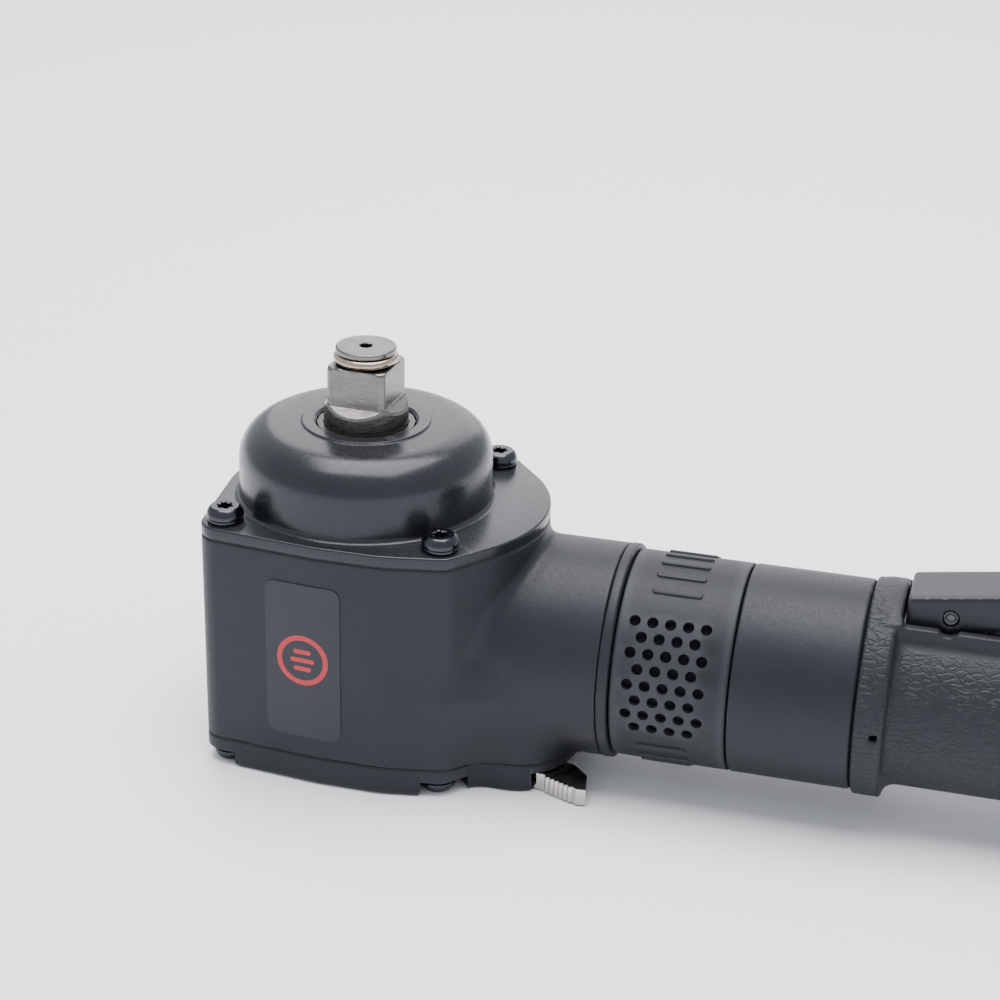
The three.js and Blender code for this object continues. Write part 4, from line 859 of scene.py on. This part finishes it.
WIRE_SIDES, RING_STEPS = 20, 150
wire = np.linspace(0, 2 * np.pi, WIRE_SIDES, endpoint=False)[:, None]
sweep = np.radians(np.linspace(97, 443, RING_STEPS))[None, :]
middle = RING_OUT - RING_WIRE
ring_grid = np.stack([(middle + RING_WIRE * np.cos(wire)) * np.cos(sweep),
                      (middle + RING_WIRE * np.cos(wire)) * np.sin(sweep),
                      SQUARE_TOP + RING_WIRE + 0.1 + RING_WIRE * np.sin(wire) + 0 * sweep], -1)
ring_faces = grid_faces(WIRE_SIDES, RING_STEPS, wrap_rows=True, wrap_columns=False).tolist()
first_end = [i * RING_STEPS for i in range(WIRE_SIDES)]
ring_ends = [first_end, [i + RING_STEPS - 1 for i in first_end][::-1]]
make_piece("friction_ring", [(ring_grid.reshape(-1, 3), ring_faces + ring_ends)], ring_wire,
           "anvil_ring", "anvil_body")

# %% [markdown]
# ## Reverse lever
# The plated lever turns about the anvil's axis below the motor. Its thumb pad has
# six upright ribs on the radial face, and a plain facet at the tip.

# %% Reverse lever
def polar(r, degrees):
    """Points (x, y) at the radii r, all at one angle about the anvil."""
    r, a = np.atleast_1d(r), np.radians(degrees)
    return np.stack([r * np.cos(a), r * np.sin(a)], -1)


PAD_A, PAD_B, PAD_IN, PAD_TIP = -23.0, -13.7, 45.6, 57.9
RIBS_FROM, RIBS_TO, RIBS, RIB_RISE = 48.0, 55.0, 6, 0.44
along_pad = np.linspace(RIBS_FROM, RIBS_TO, 106)
wave = RIB_RISE * np.abs(np.sin(np.pi * RIBS * (along_pad - RIBS_FROM) / (RIBS_TO - RIBS_FROM)))
rib_face = polar(along_pad, PAD_A) - polar(1.0, PAD_A + 90) * (wave - 0.42)[:, None]
pad_outline = np.vstack([polar(PAD_IN, PAD_A), rib_face, polar(56.2, PAD_A + 0.15),
                         polar(PAD_TIP, PAD_A + 1.2), polar(55.2, PAD_A + 6.2),
                         polar(50.7, PAD_B), polar(PAD_IN, PAD_B)])
pad = raised(pad_outline, [(0.3, 0.2), (0.0, 0.45), (0.0, 3.8), (0.12, 4.02), (0.35, 4.1)])
arm_outline = np.vstack([polar(6, PAD_A + 1), polar(48, PAD_A + 0.6), polar(48, PAD_B - 0.6),
                         polar(6, PAD_B - 1)])
arm = raised(arm_outline, [(0, 2.15), (0, 4.15)])
hub = turned(rounded([(4.4, 2.1, 0.2), (11, 2.1, 0.3), (11, 4.2, 0.3), (4.4, 4.2, 0.2)]), 72)
make_piece("thumb_lever", [pad, arm, hub], nickel_plate, "reverse_lever", "reverse_body")

# %% [markdown]
# ## Rings of the handle
# A narrow bead closes the neck, and a plain painted tube follows the exhaust sleeve.
# Both are turned about the handle's axis.

# %% Bead and tube
HANDLE = (0, HANDLE_Z)
RING_BORE = 17.1


def ring_line(start, end, radius, first_edge, last_edge, steps=5):
    """The section of a ring on the handle's core, with a radius at each outer edge."""
    return rounded([(RING_BORE, start), (radius, start, first_edge), (radius, end, last_edge),
                    (RING_BORE, end)], steps)


for name, node, line in (("neck_ring", "neck_bead", ring_line(55.02, 57.2, 22.35, 0.45, 0.6)),
                         ("plain_tube", "handle_tube", ring_line(81.3, 105.9, 21.45, 0.5, 0.9))):
    make_piece(name, [turned(line, 192, "x", HANDLE)], casting_paint, node, "root")

# %% [markdown]
# ## Exhaust sleeve
# Thirty-six punched holes in eight staggered rows let the air out, and low ribs round
# the rest of the sleeve give the fingers a hold when the exhaust is turned away. The
# skin is laid out flat, with length along the handle against arc round it, cut with
# its holes by a constrained triangulation, rolled up, and given its wall.

# %% Perforated skin
SLEEVE_X, SLEEVE_END, SLEEVE_R, SLEEVE_WALL = 57.5, 81.0, 21.4, 1.3
SLEEVE_BAND = 0.72
HOLE_R, HOLE_PITCH, HOLE_TOP, HOLE_STEP = 1.15, 3.6, 44.5, 8.7
sleeve_mid = SLEEVE_X + 10.7


def flat_sheet(outline, holes, filling):
    """Triangles that fill an outline, keep every given line and leave the holes open."""
    loops = [np.asarray(outline)] + [np.asarray(h) for h in holes]
    points, edges = [], []
    for loop in loops:
        n, start = len(loop), len(points)
        points += [Vector(p) for p in loop]
        edges += [(start + i, start + (i + 1) % n) for i in range(n)]
    points += [Vector(p) for p in filling]
    verts, _, faces, *_ = delaunay_2d_cdt(points, edges, [], 0, 1e-5)
    verts = np.array([tuple(v) for v in verts])
    faces = np.array([f for f in faces if len(f) == 3])
    centre = verts[faces].mean(1)
    keep = within(centre, loops[0])
    for hole in loops[1:]:
        middle = hole.mean(0)
        reach = np.linalg.norm(hole - middle, axis=1).max()
        near = np.linalg.norm(centre - middle, axis=1) < reach
        keep &= ~(near & within(centre, hole))
    return verts, faces[keep]


def within(points, loop):
    """Even-odd rule: how often a ray to the right crosses the loop."""
    a, b = loop, np.roll(loop, -1, 0)
    x, y = points[:, :1], points[:, 1:]
    spans = (a[:, 1] > y) != (b[:, 1] > y)
    rise = np.where(np.abs(b[:, 1] - a[:, 1]) < 1e-12, 1e-12, b[:, 1] - a[:, 1])
    at = a[:, 0] + (y - a[:, 1]) * (b[:, 0] - a[:, 0]) / rise
    return (spans & (at > x)).sum(1) % 2 == 1


def open_edges(triangles):
    """The edges that only one triangle has: the outline and the rims of the holes."""
    pairs = np.vstack([triangles[:, [0, 1]], triangles[:, [1, 2]], triangles[:, [2, 0]]])
    lines, times = np.unique(np.sort(pairs, 1), axis=0, return_counts=True)
    return lines[times == 1]


def walled(outer, inner, triangles, rim):
    """A closed sheet: its outer side, its inner side turned over, and a wall on the rim."""
    n = len(outer)
    walls = np.c_[rim, rim[:, ::-1] + n]
    faces = triangles.tolist() + (triangles[:, ::-1] + n).tolist() + walls.tolist()
    return np.vstack([outer, inner]), faces


def hole_places():
    """Rows of five and four holes in turn, each row a step further round."""
    places = []
    for row in range(8):
        count = 4 if row % 2 else 5
        xs = sleeve_mid + (np.arange(count) - (count - 1) / 2) * HOLE_PITCH
        places += [(x, math.radians(HOLE_TOP - row * HOLE_STEP) * SLEEVE_R) for x in xs]
    return places


round_angle = np.linspace(0, 2 * np.pi, 28, endpoint=False)
circle_unit = np.stack([np.cos(round_angle), np.sin(round_angle)], -1)
holes_flat = [np.array(p) + HOLE_R * circle_unit for p in hole_places()]
half_turn = math.pi * SLEEVE_R
columns = np.linspace(-half_turn, half_turn, 145)
window = [np.c_[np.full(145, x), columns] for x in (SLEEVE_X + 0.7, SLEEVE_END - 0.7)]
edge_loop = np.vstack([window[0], window[1][::-1]])
fill_x, fill_s = np.meshgrid(np.linspace(SLEEVE_X + 2.2, SLEEVE_END - 2.2, 11), columns[1:-1])
filling = np.c_[fill_x.ravel(), fill_s.ravel()]
far_from = np.array([np.linalg.norm(filling - p, axis=1) for p in hole_places()]).min(0)
flat, triangles = flat_sheet(edge_loop, holes_flat, filling[far_from > HOLE_R + 0.35])


def rolled(points, radius):
    """Flat (x, arc) to space: the arc over the sleeve's radius is the angle from -Y up."""
    angle = points[:, 1] / SLEEVE_R
    return np.c_[points[:, 0], -radius * np.cos(angle), HANDLE_Z + radius * np.sin(angle)]


rim_lines = open_edges(triangles)
on_seam = np.abs(np.abs(flat[rim_lines].mean(1)[:, 1]) - half_turn) < 0.05
skin = walled(rolled(flat, SLEEVE_R), rolled(flat, SLEEVE_R - SLEEVE_WALL), triangles,
              rim_lines[~on_seam])
end_lines = [ring_line(SLEEVE_X, SLEEVE_X + SLEEVE_BAND, SLEEVE_R, 0.35, 0, steps=4),
             ring_line(SLEEVE_END - SLEEVE_BAND, SLEEVE_END, SLEEVE_R, 0, 0.35, steps=4)]


RIB_HALF, RIB_LONG, RIB_H = 0.75, 10.2, 0.44


def oblong(x0, x1, y0, y1, corner, steps=5):
    """A rectangle with four rounded corners."""
    return rounded([(x0, y0, corner), (x1, y0, corner), (x1, y1, corner), (x0, y1, corner)], steps)


def rib(angle_deg):
    """A low bar with rounded flanks, lying along the handle on the sleeve's skin."""
    outline = oblong(-RIB_LONG / 2, RIB_LONG / 2, -RIB_HALF, RIB_HALF, 0.7, steps=4)
    rim = [(0, -0.5), (0, RIB_H * 0.4), (0.12, RIB_H * 0.85), (0.32, RIB_H)]
    verts, faces = raised(outline, rim)
    arc = verts[:, 1] + math.radians(angle_deg) * SLEEVE_R
    flat_place = np.c_[verts[:, 0] + sleeve_mid, arc]
    return rolled(flat_place, SLEEVE_R + verts[:, 2]), faces


ribs = [rib(64 + 12 * i) for i in range(23)]
make_piece("exhaust_sleeve", [skin, *[turned(e, 144, "x", HANDLE) for e in end_lines], *ribs],
           sleeve_paint, "exhaust_deflector", "deflector_body")

# %% [markdown]
# ## Rubber grip
# The grip is moulded round the handle. A collar ends it at the tube, a raised lip runs
# along both sides of the lever's slot, and all of it melts together as moulded rubber
# does, so it is a distance field like the head.

# %% Grip
GRIP_X, GRIP_END, GRIP_R = 106.2, 232.2, 19.1
COLLAR_END, GRIP_COLLAR_R = 111.8, 22.1
SLOT_HALF, LIP_W, LIP_TOP = 8.4, 2.0, 44.8
SLOT_FRONT, SLOT_END = 112.6, 157.0
CORE_R = 16.4
PIVOT_X, PIVOT_Z, PIN_R = 121.75, 46.3, 1.5
NOTCH_R = 2.5
VENT_X, VENT_R = 110.2, 0.8


def grip_field(x, y, z):
    """Barrel, collar, tail swell and slot lip joined softly, less core, slot and notches."""
    around = np.hypot(y, z - HANDLE_Z)
    barrel = round_bar(around, x, GRIP_R, GRIP_X, GRIP_END, 0.6)
    collar = round_bar(around, x, GRIP_COLLAR_R, GRIP_X, COLLAR_END, 0.5)
    tail = round_bar(around, x, GRIP_R + 0.8, 226, GRIP_END, 0.7)
    lip = block(x, y, z, (111.0, -SLOT_HALF - LIP_W, 30.0),
                (SLOT_END + LIP_W, SLOT_HALF + LIP_W, LIP_TOP), 0.55)
    wall = block(x, y, z, (109.0, -SLOT_HALF - LIP_W, 30.0),
                 (SLOT_FRONT, SLOT_HALF + LIP_W, 50.0), 0.5)
    wall = np.maximum(wall, around - GRIP_COLLAR_R + 0.2)
    rubber = soft_min(soft_min(barrel, collar, 3.4), tail, 3.0)
    rubber = soft_min(soft_min(rubber, lip, 1.2), wall, 1.5)
    slot = block(x, y, z, (SLOT_FRONT, -SLOT_HALF, 38.2), (SLOT_END, SLOT_HALF, 60.0), 0.5)
    notch = np.hypot(x - PIVOT_X, z - PIVOT_Z) - NOTCH_R
    vent = np.hypot(x - VENT_X, z - HANDLE_Z) - VENT_R + 20.0 * (y > -18)
    core = np.where(x < 107.5, RING_BORE, CORE_R) - around
    cuts = np.maximum(np.maximum(-slot, core), np.maximum(-notch, -vent))
    return np.maximum(rubber, cuts)


GRIP_PLANES = ((GRIP_X, SLOT_FRONT, SLOT_END, GRIP_END),
               (-SLOT_HALF - LIP_W, -SLOT_HALF, SLOT_HALF, SLOT_HALF + LIP_W), (LIP_TOP,))
grip = surface_of(grip_field, (105.3, -23.5, 2.6), (233.0, 23.5, 49.5), 0.85, GRIP_PLANES)
rubber_grip = make_piece("rubber_grip", [grip], grip_rubber, "grip", "root",
                         weld=False, sharp=NEVER_SHARP)
gx, gy, gz = grip[0].T
smooth_lip = (np.abs(gy) < SLOT_HALF + LIP_W + 1.6) & (gz > 40.6) & (gx > 110.6) & (gx < 161)
share = np.clip((np.hypot(gy, gz - HANDLE_Z) - 19.5) / 1.0, 0, 1) * (gx > 111.0) * (gx < 115)
wrinkle = rubber_grip.data.attributes.new("wrinkle", "FLOAT", "POINT")
depth = np.where(smooth_lip, 0.1, 1.0) * (1 - 0.7 * share)
wrinkle.data.foreach_set("value", depth.astype(np.float32))

# %% [markdown]
# ## Throttle lever
# A long channel, open below, straddles the pivot boss. Its flanks lean in towards the
# top. It is worked out lying flat about its pivot and then tilted up as the spring
# holds it.

# %% Lever and pin
TILT = math.radians(8.7)
LEVER_TOP, LEVER_SKIN, LEVER_EDGE = 4.4, 1.8, 0.7
LEVER_FRONT, LEVER_BACK = 8.0, 88.0


def lever_field(x, y, z):
    """In the lever's own frame: a leaning block less its channel and its lower rear."""
    u = (x - PIVOT_X) * math.cos(TILT) + (z - PIVOT_Z) * math.sin(TILT)
    w = -(x - PIVOT_X) * math.sin(TILT) + (z - PIVOT_Z) * math.cos(TILT)
    half = 6.45 + 0.082 * (LEVER_TOP - w)
    side_gap = np.abs(y) - half
    ends = np.maximum(-LEVER_FRONT - u - 0.15 * (LEVER_TOP - w), u - LEVER_BACK)
    depth = np.interp(u, [-20, 11, 28, 90], [7.3, 7.3, 3.3, 3.3])
    tall = np.maximum(w - LEVER_TOP, LEVER_TOP - depth - w)
    body = rounded_in([side_gap, ends, tall], LEVER_EDGE)
    channel = block(u, y, w, (-LEVER_FRONT + LEVER_SKIN, -half + LEVER_SKIN, -30.0),
                    (LEVER_BACK - 5, half - LEVER_SKIN, LEVER_TOP - LEVER_SKIN), 0.4)
    eye = np.hypot(u, w) - PIN_R - 0.12
    return np.maximum(np.maximum(body, -channel), -eye)


lever = surface_of(lever_field, (112.6, -8.2, 37.5), (210.5, 8.2, 66.0), 0.5)
make_piece("lever_channel", [lever], lever_paint, "throttle_lever", "lever_body",
           weld=False)
pin = rounded([(0, -6.5), (0.7, -6.5, 0.05), (0.85, -6.4), (1.2, -6.62, 0.15), (PIN_R, -6.45, 0.1),
               (PIN_R, 6.4, 0.1), (1.3, 6.6, 0.1), (0, 6.6)], steps=3)
make_piece("pivot_pin", [turned(pin, 64, "y", (PIVOT_X, PIVOT_Z), closed=False)], dark_steel,
           "lever_pin", "root")

# %% [markdown]
# ## Handle core and inlet
# The aluminium core shows as the boss under the lever and as the bare rear end. The
# inlet bushing is a hexagon whose corners were turned back, so its radius is the
# smaller of hexagon and cone.

# %% Core and inlet bushing
REAR_X, REAR_END, REAR_R = 232.5, 245.0, 19.0
core_line = rounded([(8.4, 233.0), (8.4, REAR_END - 0.3, 0.4), (REAR_R, REAR_END, 1.6),
                     (REAR_R, REAR_X, 0.5), (16.3, REAR_X), (16.3, 107.4), (17.0, 107.4),
                     (17.0, 86.0, 0.5), (6.2, 86.0), (6.2, 233.0)], steps=4)
boss = oblong(PIVOT_X - 4.4, PIVOT_X + 7, -4.4, 4.4, 0.6, steps=3)
boss_shell = raised(boss, [(0, 40), (0, 47.4), (0.2, 47.75), (0.5, 47.9)])
core = make_piece("handle_core", [turned(core_line, 144, "x", HANDLE)], bare_aluminium,
                  "handle_body", "root")
cut_with(core, [bar_shell(2.15, 27, 60, (146.0, 0))])
make_piece("lever_boss", [boss_shell], bare_aluminium, "handle_body", "root")
HEX_HALF, HEX_X, HEX_END, BUSH_BORE = 11.0, 245.3, 254.3, 5.7
HEX_SIDES, HEX_THROAT = 360, 8.2
turn_angle = np.linspace(0, 2 * np.pi, HEX_SIDES, endpoint=False)
hex_share = np.cos((turn_angle + math.pi / 6) % (math.pi / 3) - math.pi / 6)
bush_rows = [(234, BUSH_BORE), (234, 7.9), (234.4, HEX_THROAT), (HEX_X, HEX_THROAT), (HEX_X, 11.4),
             (HEX_X + 0.7, 12.9), (HEX_END - 1.4, 12.9), (HEX_END - 0.1, 10.9),
             (HEX_END, 10.6), (HEX_END, BUSH_BORE + 0.6), (HEX_END - 0.6, BUSH_BORE)]
hexagon = HEX_HALF / hex_share
radii = np.array([np.minimum(r, hexagon) if x >= HEX_X and r > HEX_THROAT else 0 * turn_angle + r
                  for x, r in bush_rows])
xs = np.array([x for x, _ in bush_rows])[:, None] + 0 * turn_angle
bush_grid = np.stack([xs, radii * np.sin(turn_angle), HANDLE_Z + radii * np.cos(turn_angle)], -1)
make_piece("inlet_hex", [(bush_grid.reshape(-1, 3), grid_faces(len(xs), HEX_SIDES, wrap_rows=True))],
           nickel_plate, "inlet_bushing", "root")

# %% [markdown]
# ## Label
# A thin dark film with rounded corners sits on the near side of the head. Its print
# is a plain red ring with three bars, made for this model only.

# %% Label and its print
LABEL = (-12.2, 4.0, 10.9, 45.5)
PRINT_LOW, PRINT_TOP = 0.165, 0.20
near_side = filled_in(head_outline)
near_side = near_side[(near_side[:, 1] < 0) & (np.abs(near_side[:, 0]) < 20)]
near_side = near_side[near_side[:, 0].argsort()]


def on_wall(flat_points, lift):
    """Flat (x, z) onto the head's near side, whose y is read off the oval at that x."""
    y = np.interp(flat_points[:, 0], *near_side.T)
    return np.c_[flat_points[:, 0], y - lift, flat_points[:, 1]]


def film(outline, holes, spacing, low, high):
    """A flat outline on the wall as a thin closed sheet between two lifts."""
    outline = np.asarray(outline)
    (x0, z0), (x1, z1) = outline.min(0), outline.max(0)
    gx, gz = np.meshgrid(np.arange(x0 + 0.4, x1 - 0.3, spacing), np.arange(z0 + 0.4, z1, 6.0))
    filling = np.c_[gx.ravel(), gz.ravel()]
    filling = filling[within(filling, outline)]
    verts, tris = flat_sheet(outline, holes, filling if not holes else filling[:0])
    return walled(on_wall(verts, high), on_wall(verts, low), tris, open_edges(tris))


plate = filled_in(oblong(*LABEL, 2.2, steps=8), 0.8)
make_piece("label_plate", [film(plate, [], 0.8, 0.03, 0.16)], label_film, "label", "root")
mark_x, mark_z = -4.1, 28.6
ring_out = np.array([mark_x, mark_z]) + 5.6 * circle_unit
ring_in = np.array([mark_x, mark_z]) + 4.5 * circle_unit
marks = [film(ring_out, [ring_in], 0.8, PRINT_LOW, PRINT_TOP)]
for step in (-1, 0, 1):
    wide, level = 2.6 - 0.7 * abs(step), mark_z + 1.9 * step
    bar = oblong(mark_x - wide, mark_x + wide, level - 0.5, level + 0.5, 0.35)
    marks.append(film(bar, [], 0.8, PRINT_LOW, PRINT_TOP))
make_piece("label_print", marks, label_red, None, "root")

# %% [markdown]
# ## Inside pieces
# The motor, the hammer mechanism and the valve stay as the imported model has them. They
# are out of sight, and only need the finish of their material.

# %% Finishes of the inside pieces
INSIDE = {
    turned_steel: ["rotor", "hammer_pin_1", "hammer_pin_2", "rear_bearing", "front_bearing",
                   "reverse_valve", "push_rod"],
    dark_steel: ["hammer_cage", "hammer_dog_1", "hammer_dog_2", "cylinder_liner",
                 "rear_end_plate", "front_end_plate"],
    collar_bronze: ["anvil_bushing"],
    sinter_bronze: ["valve_plug", "valve_cap", "inlet_screen"],
    ring_wire: ["valve_spring"],
    bare_aluminium: ["air_tube"],
    plain_rubber: ["tube_seal"],
    vane_fibre: [f"rotor_vane_{i}" for i in range(1, 7)],
    baffle_felt: ["silencer"],
}
for material, names in INSIDE.items():
    for name in names:
        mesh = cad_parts[name].data
        mesh.materials.clear()
        mesh.materials.append(material)
print("inside pieces finished:", sum(map(len, INSIDE.values())))

# %% [markdown]
# ## Floor, light and camera
# The tool stands on a pale floor under a wide soft lamp. A weaker lamp stands far
# behind the tool, and a pale world gives light from all round. The lens is long, and
# the camera looks down from the label's side.

# %% Stage
floor_mesh = bpy.data.meshes.new("floor")
FLOOR = 6.0
floor_mesh.from_pydata([(x * FLOOR, y * FLOOR, 0) for x, y in ((-1, -1), (1, -1), (1, 1), (-1, 1))],
                       [], [(0, 1, 2, 3)])
floor = bpy.data.objects.new("floor", floor_mesh)
bpy.context.scene.collection.objects.link(floor)
pale, pale_tree, pale_shader, pale_place = start_material("pale_floor", (0.90, 0.92, 0.95), 0.6)
cloud = noise(pale_tree, pale_place, 2.5, 2)
pale_tree.links.new(mix_colors(pale_tree, cloud, (0.90, 0.915, 0.95), (0.92, 0.93, 0.955)),
                    pale_shader.inputs["Base Color"])
floor_mesh.materials.append(pale)

world = bpy.data.worlds.new("studio")
world.use_nodes = True
world.node_tree.nodes["Background"].inputs["Color"].default_value = (0.925, 0.95, 1.0, 1)
world.node_tree.nodes["Background"].inputs["Strength"].default_value = 1.05
bpy.context.scene.world = world


def soft_light(name, place, target, size, power):
    """A square lamp at place that faces target."""
    lamp = bpy.data.lights.new(name, "AREA")
    lamp.shape = "SQUARE"
    lamp.size = size
    lamp.energy = power
    lamp.color = (1.0, 0.985, 0.97)
    light = bpy.data.objects.new(name, lamp)
    facing = (Vector(target) - Vector(place)).to_track_quat("-Z", "Y")
    light.matrix_world = Matrix.Translation(place) @ facing.to_matrix().to_4x4()
    bpy.context.scene.collection.objects.link(light)


soft_light("overhead", (0.05, 0.1, 1.2), (0.05, 0, 0.03), 1.1, 34)
soft_light("backdrop", (-0.25, 1.7, 0.85), (0.05, 0, 0.04), 1.4, 12)

# %% Camera
lens = bpy.data.cameras.new("camera")
lens.sensor_width = 36.0
lens.lens = 82.8
lens.clip_start = 0.02
camera = bpy.data.objects.new("camera", lens)
right = Vector((0.96480638, 0.26216415, 0.02045988))
up = Vector((-0.12530247, 0.38993722, 0.91227641))
back = Vector((0.23118811, -0.88273377, 0.40906374))
turn_matrix = Matrix((right, up, back)).transposed().to_4x4()
camera.matrix_world = Matrix.Translation((0.13769, -0.41601, 0.24889)) @ turn_matrix
bpy.context.scene.collection.objects.link(camera)
bpy.context.scene.camera = camera
